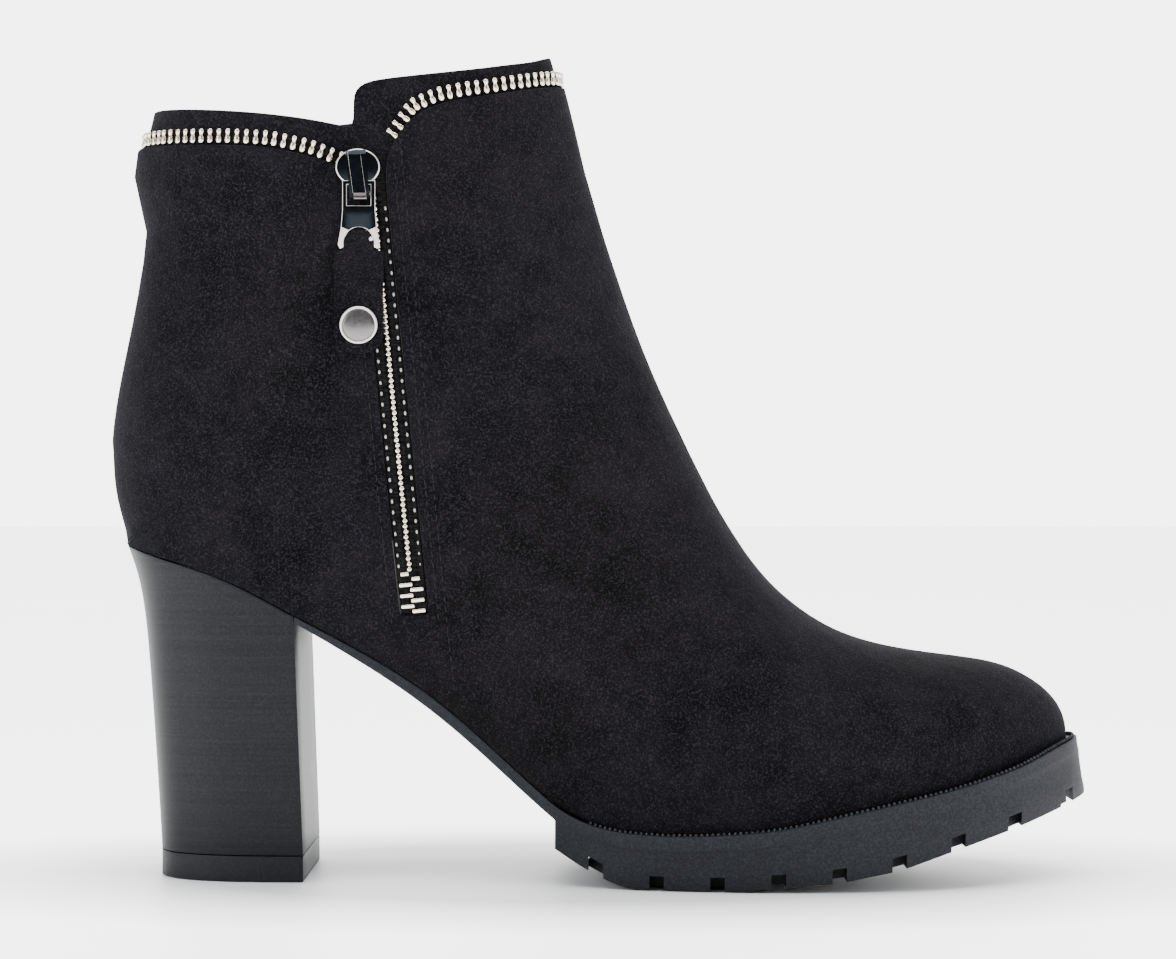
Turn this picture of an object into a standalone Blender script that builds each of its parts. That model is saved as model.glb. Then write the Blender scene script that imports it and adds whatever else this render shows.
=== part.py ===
"""Left zip ankle boot with a block heel, in metres, toe towards +X, outer side towards +Y, +Z up.

The upper is lofted through a fan of sections. Each one is a plane that holds the Y direction and
runs from a base point (on the sole line, or up the back of the leg) to a top point (on the vamp,
the instep or the front of the leg). The sole, the insole and the heel seat take their outline and
their height from the same sections.
"""
import functools
import math

import bmesh
import bpy
import numpy as np
from mathutils import Matrix, Vector

# Driving sizes of the last and the shaft
BOOT_LENGTH = 0.2469        # back of the heel curve to the tip of the sole
BALL_WIDTH = 0.0892         # widest place of the upper, over the ball of the foot
ANKLE_WIDTH = 0.0630        # widest place of the upper behind the instep
INSTEP_HEIGHT = 0.1126      # floor to the top of the instep
BOOT_HEIGHT = 0.2062        # floor to the front of the collar
COLLAR_RISE = 0.0142        # the front of the collar is this much higher than its back
HEEL_HEIGHT = 0.0830        # floor to the heel seat, at the back
FOREFOOT_HEIGHT = 0.0134    # floor to the top of the sole, under the ball
TOE_SPRING = 0.0216         # rise of the sole's top from the ball to the toe

# Wall of the upper: suede outside, lining and facing inside
OUTER_LAYER = 0.0014
LINING_LAYER = 0.0012
GAP = 0.0003                # clearance between pieces that touch

# Sole unit
WELT_AT_TOE = 0.0045
WELT_AT_BALL = 0.0030
WELT_AT_WAIST = 0.0002
WELT_PLACES = (0.43, 0.52, 0.80, 0.98)  # shares of the length: waist, ball twice, toe
RIM_THICKNESS = 0.0034
RIM_AT_BREAST = 0.0014
RIM_STEP = 0.0008           # the rim stands out this far from the sole's side
LUG_DEPTH = 0.0035
LUG_TAPER = 0.0010
LUG_PITCH = 0.0146
GROOVE_WIDTH = 0.0035
CENTRE_GROOVE = 0.0040
FIRST_GROOVE = 0.1238       # back of the boot to the first cross groove
REAR_STEP = 0.0088          # floor to the foot of the step behind the lugs
TREAD_SPRING = 0.0206       # rise of the tread at the toe

# Block heel
BREAST_AT_SEAT = 0.0495     # back of the boot to the heel's front face, at the top
BREAST_AT_FLOOR = 0.0518    # the same at the floor
HEEL_BACK_AT_FLOOR = 0.0143
HEEL_FLOOR_WIDTH = 0.0500
HEEL_CORNER = 2.7           # roundness of the back of the heel on the floor
TOP_PIECE = 0.0062

INSOLE_THICKNESS = 0.0026
INSOLE_BEVEL = 0.0008       # its upper edge is set in by this
INSOLE_SHORT = 0.0040       # its toe stops short of the upper by this
INSOLE_POINTS = 41          # along each side
HEEL_POINTS = 25            # round the back of the heel
HEEL_SHARES = (0.0, 0.25, 0.50, 0.75, 0.87, 0.95, 1.0)
HEEL_FLARE = (0.0, 0.13, 0.28, 0.45, 0.62, 0.83, 1.0)  # of the back, at those shares of height

# Zip along the inner side, and the row of open teeth round the collar. The places are shares of
# the length, from the back, and of the boot's height.
ZIP_TOP_PLACE = (0.2770, 0.8647)
ZIP_BOTTOM_PLACE = (0.3220, 0.3191)
SLIDER_PLACE = (0.2702, 0.8468)
SLOT_HALF = 0.0035
TAPE_THICKNESS = 0.0005
CHAIN_HALF = 0.0027
CHAIN_CORE = 0.0009
CHAIN_PROUD = 0.0006
CHAIN_PITCH = 0.0026
STOP_TEETH = 3
COLLAR_TOOTH_PITCH = 0.0025
COLLAR_TOOTH = 0.0028
COLLAR_TOOTH_BASE = 0.0012
COLLAR_TOOTH_THICK = 0.0016
COLLAR_SPACE = 0.4          # share of the pitch between two open teeth

# Slider and pull
SLIDER_HALF = 0.0050
SLIDER_THICK = 0.0022
CROWN_WIDTH = 0.0048
CROWN_BAR = 0.0011
CROWN_SPACE = 0.0018
CROWN_TOP = 0.0044
CROWN_BOTTOM = 0.0072
HINGE_BELOW = 0.0034        # slider's centre down to the pull's hinge
PULL_THICK = 0.0010
PULL_WINDOW = 0.0056
PULL_WINDOW_HALF = 0.0029
PULL_HALF = 0.0040
PULL_WAIST = 0.0108
PULL_LENGTH = 0.0161
PULL_FOOT_HALF = 0.0051
PULL_LEG = 0.0017
TAB_LENGTH = 0.0305
TAB_HALF = 0.0049
TAB_THICK = 0.0014
RIVET_DROP = 0.0347
RIVET_RADIUS = 0.0046
RIVET_RISE = 0.0018

# Sole line, back to front. place: share of the length. rise: share of the heel's rise over the
# ball. spring: share of the toe spring.
SOLE_LINE = np.array([
    # place, rise, spring
    (0.021, 1.000, 0.000),
    (0.073, 0.944, 0.000),
    (0.121, 0.892, 0.000),
    (0.152, 0.843, 0.000),
    (0.202, 0.747, 0.000),
    (0.251, 0.655, 0.000),
    (0.309, 0.534, 0.000),
    (0.346, 0.443, 0.000),
    (0.379, 0.342, 0.000),
    (0.413, 0.236, 0.000),
    (0.440, 0.149, 0.000),
    (0.461, 0.088, 0.000),
    (0.486, 0.042, 0.000),
    (0.506, 0.020, 0.000),
    (0.563, 0.000, 0.000),
    (0.622, 0.000, 0.018),
    (0.680, 0.000, 0.083),
    (0.747, 0.000, 0.245),
    (0.798, 0.000, 0.370),
    (0.858, 0.000, 0.519),
    (0.923, 0.000, 0.731),
    (0.976, 0.000, 0.930),
    (1.000, 0.000, 1.000),
])

# Tread line, back to front. place: share of the length. step: share of the rear step. spring:
# share of the tread's rise at the toe.
TREAD_LINE = np.array([
    # place, step, spring
    (0.461, 1.00, 0.000),
    (0.484, 0.60, 0.000),
    (0.503, 0.34, 0.000),
    (0.518, 0.13, 0.000),
    (0.532, 0.00, 0.000),
    (0.640, 0.00, 0.000),
    (0.680, 0.00, 0.045),
    (0.737, 0.00, 0.105),
    (0.798, 0.00, 0.240),
    (0.858, 0.00, 0.470),
    (0.923, 0.00, 0.705),
    (0.984, 0.00, 0.940),
    (1.000, 0.00, 1.000),
])

# Sections of the upper, toe to collar. base_x and top_x: shares of the length. back: share of the
# back's height over the heel seat. top: up to 1, share of the instep height, and past 1, share of
# the shaft above it. rear: 0 takes the ball width, 1 the ankle width, as the width that feather,
# the half width on the sole line, and width, the widest half width, are shares of. widest: where
# along the section that is. crown and flank: how square the section is above and below it.
# base_y and top_y: swing of the centre line, as shares of the ball width.
SECTION_COLUMNS = ("base_x back feather top_x top rear width widest crown flank "
                   "base_y top_y").split()
SECTIONS = np.array([
    (.9818, 0.000, .0000, .9818, 0.316, 0.00, .0000, .36, 2.2, 2.2, -.036, -.036),
    (.9796, 0.000, .0480, .9790, 0.350, 0.00, .0500, .36, 2.2, 2.2, -.036, -.036),
    (.9717, 0.000, .0998, .9713, 0.385, 0.00, .1040, .35, 2.2, 2.2, -.036, -.036),
    (.9579, 0.000, .1590, .9571, 0.419, 0.00, .1670, .34, 2.3, 2.2, -.036, -.036),
    (.9352, 0.000, .2300, .9344, 0.450, 0.00, .2400, .33, 2.3, 2.2, -.034, -.035),
    (.9028, 0.000, .3030, .9028, 0.474, 0.00, .3150, .32, 2.3, 2.2, -.032, -.034),
    (.8582, 0.000, .3730, .8582, 0.488, 0.00, .3880, .31, 2.3, 2.2, -.029, -.032),
    (.8015, 0.000, .4340, .7995, 0.507, 0.00, .4510, .30, 2.2, 2.2, -.023, -.030),
    (.7408, 0.000, .4710, .7367, 0.552, 0.00, .4880, .28, 2.1, 2.2, -.014, -.029),
    (.6760, 0.000, .4840, .6760, 0.656, 0.00, .5000, .25, 1.9, 2.2, -.002, -.030),
    (.6152, 0.000, .4870, .6355, 0.786, 0.10, .5035, .22, 1.8, 2.2, 0.007, -.030),
    (.5545, 0.000, .4770, .6079, 0.900, 0.25, .5020, .20, 1.8, 2.2, 0.013, -.027),
    (.4937, 0.000, .4500, .5869, 1.000, 0.45, .4987, .20, 1.8, 2.2, 0.020, -.022),
    (.4330, 0.000, .4060, .5699, 1.100, 0.65, .4986, .23, 1.85, 2.2, 0.026, -.016),
    (.3722, 0.000, .3750, .5565, 1.186, 0.80, .5015, .26, 1.9, 2.2, 0.031, -.010),
    (.3115, 0.000, .3750, .5456, 1.265, 0.92, .5100, .29, 1.95, 2.2, 0.031, -.004),
    (.2507, 0.000, .4095, .5367, 1.329, 1.00, .5175, .32, 2.0, 2.2, 0.025, 0.000),
    (.1900, 0.000, .4300, .5294, 1.387, 1.00, .5110, .35, 2.0, 2.2, 0.020, 0.003),
    (.1373, 0.000, .4320, .5233, 1.436, 1.00, .5080, .38, 2.0, 2.2, 0.017, 0.005),
    (.0928, 0.000, .4000, .5188, 1.474, 1.00, .5050, .40, 2.0, 2.2, 0.015, 0.007),
    (.0583, 0.000, .3300, .5152, 1.506, 1.00, .5030, .42, 2.0, 2.24, 0.015, 0.007),
    (.0377, 0.000, .2445, .5124, 1.531, 1.00, .5010, .43, 2.0, 2.30, 0.015, 0.007),
    (.0263, 0.000, .1460, .5103, 1.551, 1.00, .5000, .43, 2.0, 2.36, 0.015, 0.007),
    (.0219, 0.000, .0680, .5087, 1.566, 1.00, .5000, .44, 2.0, 2.40, 0.015, 0.007),
    (.0207, 0.000, .0000, .5071, 1.581, 1.00, .5000, .44, 2.0, 2.42, 0.015, 0.007),
    (.0036, 0.087, .0000, .5026, 1.618, 1.00, .4980, .45, 2.05, 2.32, 0.015, 0.009),
    (.0000, 0.193, .0000, .4978, 1.658, 1.00, .4950, .46, 2.05, 2.23, 0.015, 0.009),
    (.0053, 0.330, .0000, .4929, 1.699, 1.00, .4905, .47, 2.05, 2.2, 0.014, 0.009),
    (.0219, 0.491, .0000, .4881, 1.747, 1.00, .4825, .47, 2.05, 2.2, 0.013, 0.009),
    (.0401, 0.660, .0000, .4832, 1.806, 1.00, .4730, .47, 2.05, 2.2, 0.012, 0.009),
    (.0369, 0.789, .0000, .4783, 1.855, 1.00, .4700, .47, 2.05, 2.2, 0.012, 0.009),
    (.0336, 0.904, .0000, .4727, 1.912, 1.00, .4680, .47, 2.05, 2.2, 0.011, 0.009),
    (.0417, 1.000, .0000, .4629, 2.000, 1.00, .4635, .47, 2.05, 2.2, 0.011, 0.009),
])
SEAT_ROW = 24               # the section that passes through the back of the heel seat
RIDGE_ROWS = (4, 18)        # between these the upper bends most, and takes extra sections

# Edge of the outer layer and top of the facing, on the inner side. place: share of the length.
# The second column is a share of the boot's height.
OUTER_EDGE = np.array([
    (0.036, .883), (0.149, .878), (0.202, .873), (0.235, .858), (0.262, .842), (0.288, .856),
    (0.294, .879), (0.309, .906), (0.330, .923), (0.360, .933), (0.407, .943), (0.473, .961),
])
FACING_TOP = np.array([
    (0.036, .931), (0.149, .919), (0.209, .911), (0.261, .898), (0.272, .949), (0.287, .957),
    (0.328, .963), (0.387, .973), (0.446, .988), (0.463, 1.00),
])
OUTER_EDGE_FAR = np.array([(0.036, .883), (0.254, .912), (0.473, .961)])
FACING_TOP_FAR = np.array([(0.036, .931), (0.254, .952), (0.463, 1.00)])
EDGE_ROW = 27.8             # the sections below this one keep clear of the collar's edge

# Shares of the columns round a section
COLUMNS_BEHIND_ZIP = 7
COLUMNS_AHEAD_OF_ZIP = 8
COLUMNS_OUTER_SIDE = 14
ZIP_END_ROW = 15.2
ZIP_FREE_SHARE = 0.30       # where the zip's columns lie in the forefoot, as a share of the arc
ZIP_FREE_ROWS = 4.0


def long_place(share):
    """X of a share of the boot's length."""
    return (share - 0.5) * BOOT_LENGTH


def from_back(distance):
    """X of a distance from the back of the boot."""
    return distance - 0.5 * BOOT_LENGTH


def on_side_view(place):
    """X and Z of a place given as shares of the boot's length and height."""
    return np.array((long_place(place[0]), BOOT_HEIGHT * place[1]))


ZIP_TOP = on_side_view(ZIP_TOP_PLACE)
ZIP_BOTTOM = on_side_view(ZIP_BOTTOM_PLACE)
SLIDER_CENTRE = on_side_view(SLIDER_PLACE)


def smooth(places, values, place):
    """Curve through the table's points, with slopes taken from the neighbours."""
    places = np.asarray(places, float)
    values = np.asarray(values, float)
    place = np.clip(place, places[0], places[-1])
    slopes = np.gradient(values, places)
    k = np.clip(np.searchsorted(places, place, side="right") - 1, 0, len(places) - 2)
    step = places[k + 1] - places[k]
    t = (place - places[k]) / step
    return ((1 + 2 * t) * (1 - t) ** 2 * values[k] + t * (1 - t) ** 2 * step * slopes[k]
            + t * t * (3 - 2 * t) * values[k + 1] - t * t * (1 - t) * step * slopes[k + 1])


def sole_z(x):
    """Height of the line on which the upper meets the sole and the heel."""
    place = np.asarray(x) / BOOT_LENGTH + 0.5
    rise = smooth(SOLE_LINE[:, 0], SOLE_LINE[:, 1], place)
    spring = smooth(SOLE_LINE[:, 0], SOLE_LINE[:, 2], place)
    return FOREFOOT_HEIGHT + (HEEL_HEIGHT - FOREFOOT_HEIGHT) * rise + TOE_SPRING * spring


def tread_z(x):
    """Height of the tread, level where it stands on the floor."""
    place = np.asarray(x) / BOOT_LENGTH + 0.5
    step = np.interp(place, TREAD_LINE[:, 0], TREAD_LINE[:, 1])
    spring = np.interp(place, TREAD_LINE[:, 0], TREAD_LINE[:, 2])
    return REAR_STEP * step + TREAD_SPRING * spring


SECTION_SLOPES = np.gradient(SECTIONS, axis=0)


def table_row(row):
    """Values of the section table at a row, whole or part, on a smooth curve."""
    k = int(min(max(row, 0), len(SECTIONS) - 2))
    t = min(max(row - k, 0.0), 1.0)
    return ((1 + 2 * t) * (1 - t) ** 2 * SECTIONS[k] + t * (1 - t) ** 2 * SECTION_SLOPES[k]
            + t * t * (3 - 2 * t) * SECTIONS[k + 1] - t * t * (1 - t) * SECTION_SLOPES[k + 1])


@functools.lru_cache(maxsize=None)
def section(row):
    """Real sizes of the section at a row of the table, whole or part."""
    c = dict(zip(SECTION_COLUMNS, table_row(row)))
    base_x = long_place(c["base_x"])
    back = max(c["back"], 0.0) if row > SEAT_ROW else 0.0
    if row > SEAT_ROW:
        seat = float(sole_z(long_place(SECTIONS[SEAT_ROW, 0])))
        base_z = seat + (BOOT_HEIGHT - COLLAR_RISE - seat) * back
    else:
        base_z = float(sole_z(base_x))
    top_z = (INSTEP_HEIGHT * min(c["top"], 1.0)
             + (BOOT_HEIGHT - INSTEP_HEIGHT) * max(c["top"] - 1.0, 0.0))
    local = BALL_WIDTH * (1 - c["rear"]) + ANKLE_WIDTH * c["rear"]
    feather = local * c["feather"] if row < SEAT_ROW else 0.0
    return {
        "base": np.array((base_x, base_z)), "top": np.array((long_place(c["top_x"]), top_z)),
        "feather": max(feather, 0.0), "width": local * c["width"],
        "widest": c["widest"], "crown": c["crown"], "flank": c["flank"],
        "base_y": BALL_WIDTH * c["base_y"], "top_y": BALL_WIDTH * c["top_y"],
    }


def half_width(s, q):
    """Half width of a section at q, 0 at its base and 1 at its top."""
    q = np.asarray(q, float)
    wide, c = s["width"], s["widest"]
    if wide <= 0:
        return np.zeros_like(q)
    ratio = min(s["feather"] / wide, 1.0)
    below = np.clip((c - q) / c, 0, 1)
    above = np.clip((q - c) / (1 - c), 0, 1)
    low = wide * (1 - (1 - ratio ** s["flank"]) * below ** s["flank"]) ** (1 / s["flank"])
    high = wide * (1 - above ** s["crown"]) ** (1 / s["crown"])
    return np.where(q < c, low, high)


def section_point(s, q, side):
    """Points of a section at q. side is -1 on the inner side and +1 on the outer side."""
    q = np.asarray(q, float)
    xz = s["base"] + (s["top"] - s["base"]) * q[..., None]
    y = s["base_y"] + (s["top_y"] - s["base_y"]) * q + side * half_width(s, q)
    return np.stack([xz[..., 0], y, xz[..., 1]], axis=-1)


def arc_table(s, side, samples=60):
    """q and the length of the arc from the base, sampled finely along one side of a section."""
    t = np.linspace(0, math.pi / 2, samples)
    c = s["widest"]
    q = np.concatenate([c * (1 - np.cos(t)), c + (1 - c) * np.sin(t[1:])])
    points = section_point(s, q, side)
    arc = np.concatenate([[0], np.cumsum(np.linalg.norm(np.diff(points, axis=0), axis=1))])
    return q, arc


def zip_line(offset):
    """A point and a direction in XZ, beside the zip's centre line by an offset towards the toe."""
    along = (ZIP_BOTTOM - ZIP_TOP) / np.linalg.norm(ZIP_BOTTOM - ZIP_TOP)
    side = np.array((-along[1], along[0]))
    if side[0] < 0:
        side = -side
    return ZIP_TOP + side * offset, along


def cross2(a, b):
    """Cross product of two directions in a plane."""
    return a[0] * b[1] - a[1] * b[0]


def zip_share(row, offset):
    """Share of the inner arc at which a section crosses a line beside the zip."""
    s = section(max(row, ZIP_END_ROW))
    point, along = zip_line(offset)
    run = s["top"] - s["base"]
    q_cross = cross2(point - s["base"], along) / cross2(run, along)
    q, arc = arc_table(s, -1)
    share = np.interp(q_cross, q, arc) / arc[-1]
    if row < ZIP_END_ROW:
        t = min((ZIP_END_ROW - row) / ZIP_FREE_ROWS, 1.0)
        t = t * t * (3 - 2 * t)
        free = ZIP_FREE_SHARE + offset / arc[-1]
        share = share * (1 - t) + free * t
    return share


@functools.lru_cache(maxsize=None)
def column_points(row):
    """Points round a section: inner side up, over the top, and outer side down."""
    s = section(row)
    left, middle, right = (zip_share(row, k * SLOT_HALF) for k in (-1, 0, 1))
    inner = np.concatenate([
        np.linspace(0, left, COLUMNS_BEHIND_ZIP + 1), [middle],
        np.linspace(right, 1, COLUMNS_AHEAD_OF_ZIP + 1)])
    outer = np.linspace(1, 0, COLUMNS_OUTER_SIDE + 1)[1:]
    q, arc = arc_table(s, -1)
    points = section_point(s, np.interp(inner * arc[-1], arc, q), -1)
    q, arc = arc_table(s, 1)
    far = section_point(s, np.interp(outer * arc[-1], arc, q), 1)
    return np.concatenate([points, far])


LEFT_COLUMN = COLUMNS_BEHIND_ZIP
RIGHT_COLUMN = LEFT_COLUMN + 2
RIDGE_COLUMN = RIGHT_COLUMN + COLUMNS_AHEAD_OF_ZIP
LAST_COLUMN = RIDGE_COLUMN + COLUMNS_OUTER_SIDE


def crossing(rows, values):
    """Row at which values, which rise, pass zero, or the last row."""
    above = np.nonzero(values > 0)[0]
    if len(above) == 0:
        return float(rows[-1])
    k = max(int(above[0]), 1)
    share = values[k - 1] / (values[k - 1] - values[k])
    return float(rows[k - 1] + share * (rows[k] - rows[k - 1]))


FINE_ROWS = np.linspace(12.0, len(SECTIONS) - 1.0, 201)
FINE_BASES = np.array([section(r)["base"] for r in FINE_ROWS])
FINE_RUNS = np.array([section(r)["top"] for r in FINE_ROWS]) - FINE_BASES


def row_through(x, z):
    """Row whose section passes through a point of the side view, behind the instep."""
    gap = np.array((x, z)) - FINE_BASES
    return crossing(FINE_ROWS, gap[:, 0] * FINE_RUNS[:, 1] - gap[:, 1] * FINE_RUNS[:, 0])


def collar_rows(near, far):
    """Row at which each column reaches the collar line of its side."""
    rows = np.linspace(EDGE_ROW, len(SECTIONS) - 1.0, 43)
    points = np.array([column_points(r) for r in rows])
    reached = []
    for column in range(LAST_COLUMN + 1):
        table = near if column <= RIDGE_COLUMN else far
        place = points[:, column, 0] / BOOT_LENGTH + 0.5
        line = BOOT_HEIGHT * np.interp(place, table[:, 0], table[:, 1])
        reached.append(crossing(rows, points[:, column, 2] - line))
    return np.array(reached)


def upper_rows():
    """Rows of the mesh. Each gives the row of the table for every column."""
    columns = LAST_COLUMN + 1
    rows = []
    for whole in range(int(EDGE_ROW) + 1):
        rows.append(np.full(columns, float(whole)))
        if RIDGE_ROWS[0] <= whole < RIDGE_ROWS[1]:
            rows.append(np.full(columns, whole + 0.5))
    end = [row_through(zip_line(k * SLOT_HALF)[0][0]
                       + (ZIP_BOTTOM[1] - ZIP_TOP[1]) * zip_line(0)[1][0] / zip_line(0)[1][1],
                       ZIP_BOTTOM[1]) for k in (-1, 0, 1)]
    slot_row = np.concatenate([np.full(LEFT_COLUMN + 1, end[0]), [end[1]],
                               np.full(columns - RIGHT_COLUMN, end[2])])
    place = next(k for k, r in enumerate(rows) if r[0] > end[1])
    slot_index = place
    if abs(rows[place][0] - end[1]) < abs(rows[place - 1][0] - end[1]):
        rows[place] = slot_row
    else:
        slot_index = place - 1
        rows[slot_index] = slot_row
    edge = collar_rows(OUTER_EDGE, OUTER_EDGE_FAR)
    edge[-1] = edge[0]
    facing = collar_rows(FACING_TOP, FACING_TOP_FAR)
    facing[-1] = facing[0]
    last = rows[-1]
    rows.append(last + (edge - last) * 0.5)
    rows.append(edge)
    rows.append(facing)
    return rows, slot_index


def upper_skin():
    """Outer surface of the upper, as rows of points, with the row of the slot's lower end."""
    rows, slot_index = upper_rows()
    skin = []
    for row in rows:
        if np.ptp(row) < 1e-9:
            skin.append(column_points(row[0]))
        else:
            skin.append(np.array([column_points(r)[k] for k, r in enumerate(row)]))
    skin = np.array(skin)
    skin[0] = skin[0].mean(axis=0)
    closed = np.array([row[0] >= SEAT_ROW for row in rows])
    skin[closed, -1] = skin[closed, 0]
    return skin, closed, slot_index


def outward(skin, closed):
    """Unit normals of the skin, level on the sole line so that the wall keeps its foot flat."""
    along = np.gradient(skin, axis=0)
    round_it = np.gradient(skin, axis=1)
    wrap = skin[closed, 1] - skin[closed, -2]
    round_it[closed, 0] = wrap
    round_it[closed, -1] = wrap
    normal = np.cross(along, round_it)
    normal[0] = (1, 0, 0)
    middle = skin.mean(axis=1, keepdims=True)
    flip = np.sign(np.sum(normal * (skin - middle), axis=(1, 2)))
    normal *= np.where(flip == 0, 1, flip)[:, None, None]
    normal[0] = (1, 0, 0)
    seam = normal[closed, 0] + normal[closed, -1]
    normal[closed, 0] = seam
    normal[closed, -1] = seam
    foot = ~closed
    normal[foot, 0, 2] = 0
    normal[foot, -1, 2] = 0
    return normal / np.linalg.norm(normal, axis=2, keepdims=True)


def cells_to_object(name, grid, present, wraps=None):
    """Closed surface round the present cells of a grid of points, grid[i, j, layer]."""
    ids = {}
    points = []
    size = present.shape

    def point(i, j, k):
        key = tuple(np.round(grid[i, j, k] * 1e7).astype(int))
        if key not in ids:
            ids[key] = len(points)
            points.append(grid[i, j, k])
        return ids[key]

    def is_there(i, j, k):
        if wraps is not None and 0 <= i < size[0] and wraps[i]:
            j %= size[1]
        return (0 <= i < size[0] and 0 <= j < size[1] and 0 <= k < size[2]
                and bool(present[i, j, k]))

    sides = (
        ((-1, 0, 0), ((0, 0, 0), (0, 0, 1), (0, 1, 1), (0, 1, 0))),
        ((1, 0, 0), ((1, 0, 0), (1, 1, 0), (1, 1, 1), (1, 0, 1))),
        ((0, -1, 0), ((0, 0, 0), (1, 0, 0), (1, 0, 1), (0, 0, 1))),
        ((0, 1, 0), ((0, 1, 0), (0, 1, 1), (1, 1, 1), (1, 1, 0))),
        ((0, 0, -1), ((0, 0, 0), (0, 1, 0), (1, 1, 0), (1, 0, 0))),
        ((0, 0, 1), ((0, 0, 1), (1, 0, 1), (1, 1, 1), (0, 1, 1))),
    )
    faces = []
    for i, j, k in np.argwhere(present):
        for (di, dj, dk), corners in sides:
            if is_there(i + di, j + dj, k + dk):
                continue
            loop = []
            for a, b, c in corners:
                p = point(i + a, j + b, k + c)
                if p not in loop:
                    loop.append(p)
            if len(loop) > 2:
                faces.append(loop)
    return mesh_object(name, points, faces)


def mesh_object(name, points, faces):
    """Object with the given faces, all turned outwards."""
    mesh = bpy.data.meshes.new(name)
    mesh.from_pydata([tuple(float(v) for v in p) for p in points], [], faces)
    bm = bmesh.new()
    bm.from_mesh(mesh)
    bmesh.ops.dissolve_degenerate(bm, dist=1e-7, edges=bm.edges)
    bmesh.ops.recalc_face_normals(bm, faces=bm.faces)
    if bm.calc_volume(signed=True) < 0:
        bmesh.ops.reverse_faces(bm, faces=bm.faces)
    bm.to_mesh(mesh)
    bm.free()
    obj = bpy.data.objects.new(name, mesh)
    PARTS.objects.link(obj)
    return obj


def finish(obj, material, sharp_degrees=35.0):
    """Smooth shading with sharp edges kept, and the piece's own material."""
    obj.data.materials.clear()
    obj.data.materials.append(material)
    obj.data.shade_smooth()
    obj.data.set_sharp_from_angle(angle=math.radians(sharp_degrees))
    return obj


def paint(name, colour, roughness, metallic=0.0):
    """Principled material."""
    material = bpy.data.materials.new(name)
    material.use_nodes = True
    shader = material.node_tree.nodes["Principled BSDF"]
    shader.inputs["Base Color"].default_value = (*colour, 1.0)
    shader.inputs["Roughness"].default_value = roughness
    shader.inputs["Metallic"].default_value = metallic
    return material


def build_upper(skin, normal, closed, slot_index):
    """Hollow upper. The outer layer ends at the collar's teeth and is slit for the zip."""
    depths = (0.0, OUTER_LAYER, OUTER_LAYER + LINING_LAYER)
    grid = np.stack([skin - normal * depth for depth in depths], axis=2)
    present = np.ones((grid.shape[0] - 1, grid.shape[1] - 1, 2), bool)
    present[-1, :, 0] = False
    present[slot_index:, LEFT_COLUMN:RIGHT_COLUMN, 0] = False
    return cells_to_object("upper", grid, present, closed[:-1])


def sole_outline(outset):
    """Outline of the sole line, moved out by outset(x). Inner side and outer side, toe to back."""
    rows = np.concatenate([np.linspace(0, 2, 17)[:-1], np.linspace(2, SEAT_ROW, 150)])
    sections = [section(r) for r in rows]
    x = np.array([s["base"][0] for s in sections])
    centre = np.array([s["base_y"] for s in sections])
    half = np.array([s["feather"] for s in sections])
    ring = np.concatenate([np.stack([x, centre - half], 1),
                           np.stack([x, centre + half], 1)[::-1][1:-1]])
    tangent = np.roll(ring, -1, axis=0) - np.roll(ring, 1, axis=0)
    away = np.stack([tangent[:, 1], -tangent[:, 0]], 1)
    away /= np.linalg.norm(away, axis=1, keepdims=True)
    if np.sum(away * (ring - ring.mean(axis=0))) < 0:
        away = -away
    ring = ring + away * np.array([outset(v) for v in ring[:, 0]])[:, None]
    toe = int(np.argmax(ring[:, 0]))
    ring = np.roll(ring, -toe, axis=0)
    back = int(np.argmin(ring[:, 0]))
    inner = ring[:back + 1]
    outer = np.concatenate([ring[back:], ring[:1]])[::-1]
    return inner, outer


def welt(x):
    """How far the sole stands out from the upper."""
    place = x / BOOT_LENGTH + 0.5
    return float(np.interp(place, WELT_PLACES,
                           (WELT_AT_WAIST, WELT_AT_BALL, WELT_AT_BALL, WELT_AT_TOE)))


def side_y(outline, x):
    """Y of one side of an outline at x."""
    order = np.argsort(outline[:, 0])
    return float(np.interp(x, outline[order, 0], outline[order, 1]))


def sole_places():
    """X of the sole's cross rows, with a flag for the rows that open a groove."""
    breast = from_back(BREAST_AT_SEAT) + GAP
    step = long_place(TREAD_LINE[0, 0])
    places = [(x, False) for x in np.linspace(breast, step, 9)]
    centre = from_back(FIRST_GROOVE)
    reach = long_place(SECTIONS[0, 0]) + WELT_AT_TOE
    while centre + GROOVE_WIDTH < reach:
        before = places[-1][0]
        start, end = centre - GROOVE_WIDTH / 2, centre + GROOVE_WIDTH / 2
        middle = [before + (start - before) * k / 3 for k in (1, 2)]
        places += [(x, False) for x in middle]
        places += [(start, True), (end, False)]
        centre += LUG_PITCH
    before = places[-1][0]
    for share in (0.45, 0.75, 0.93):
        places.append((before + (reach - before) * share, False))
    places.append((reach, False))
    return places, step


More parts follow.
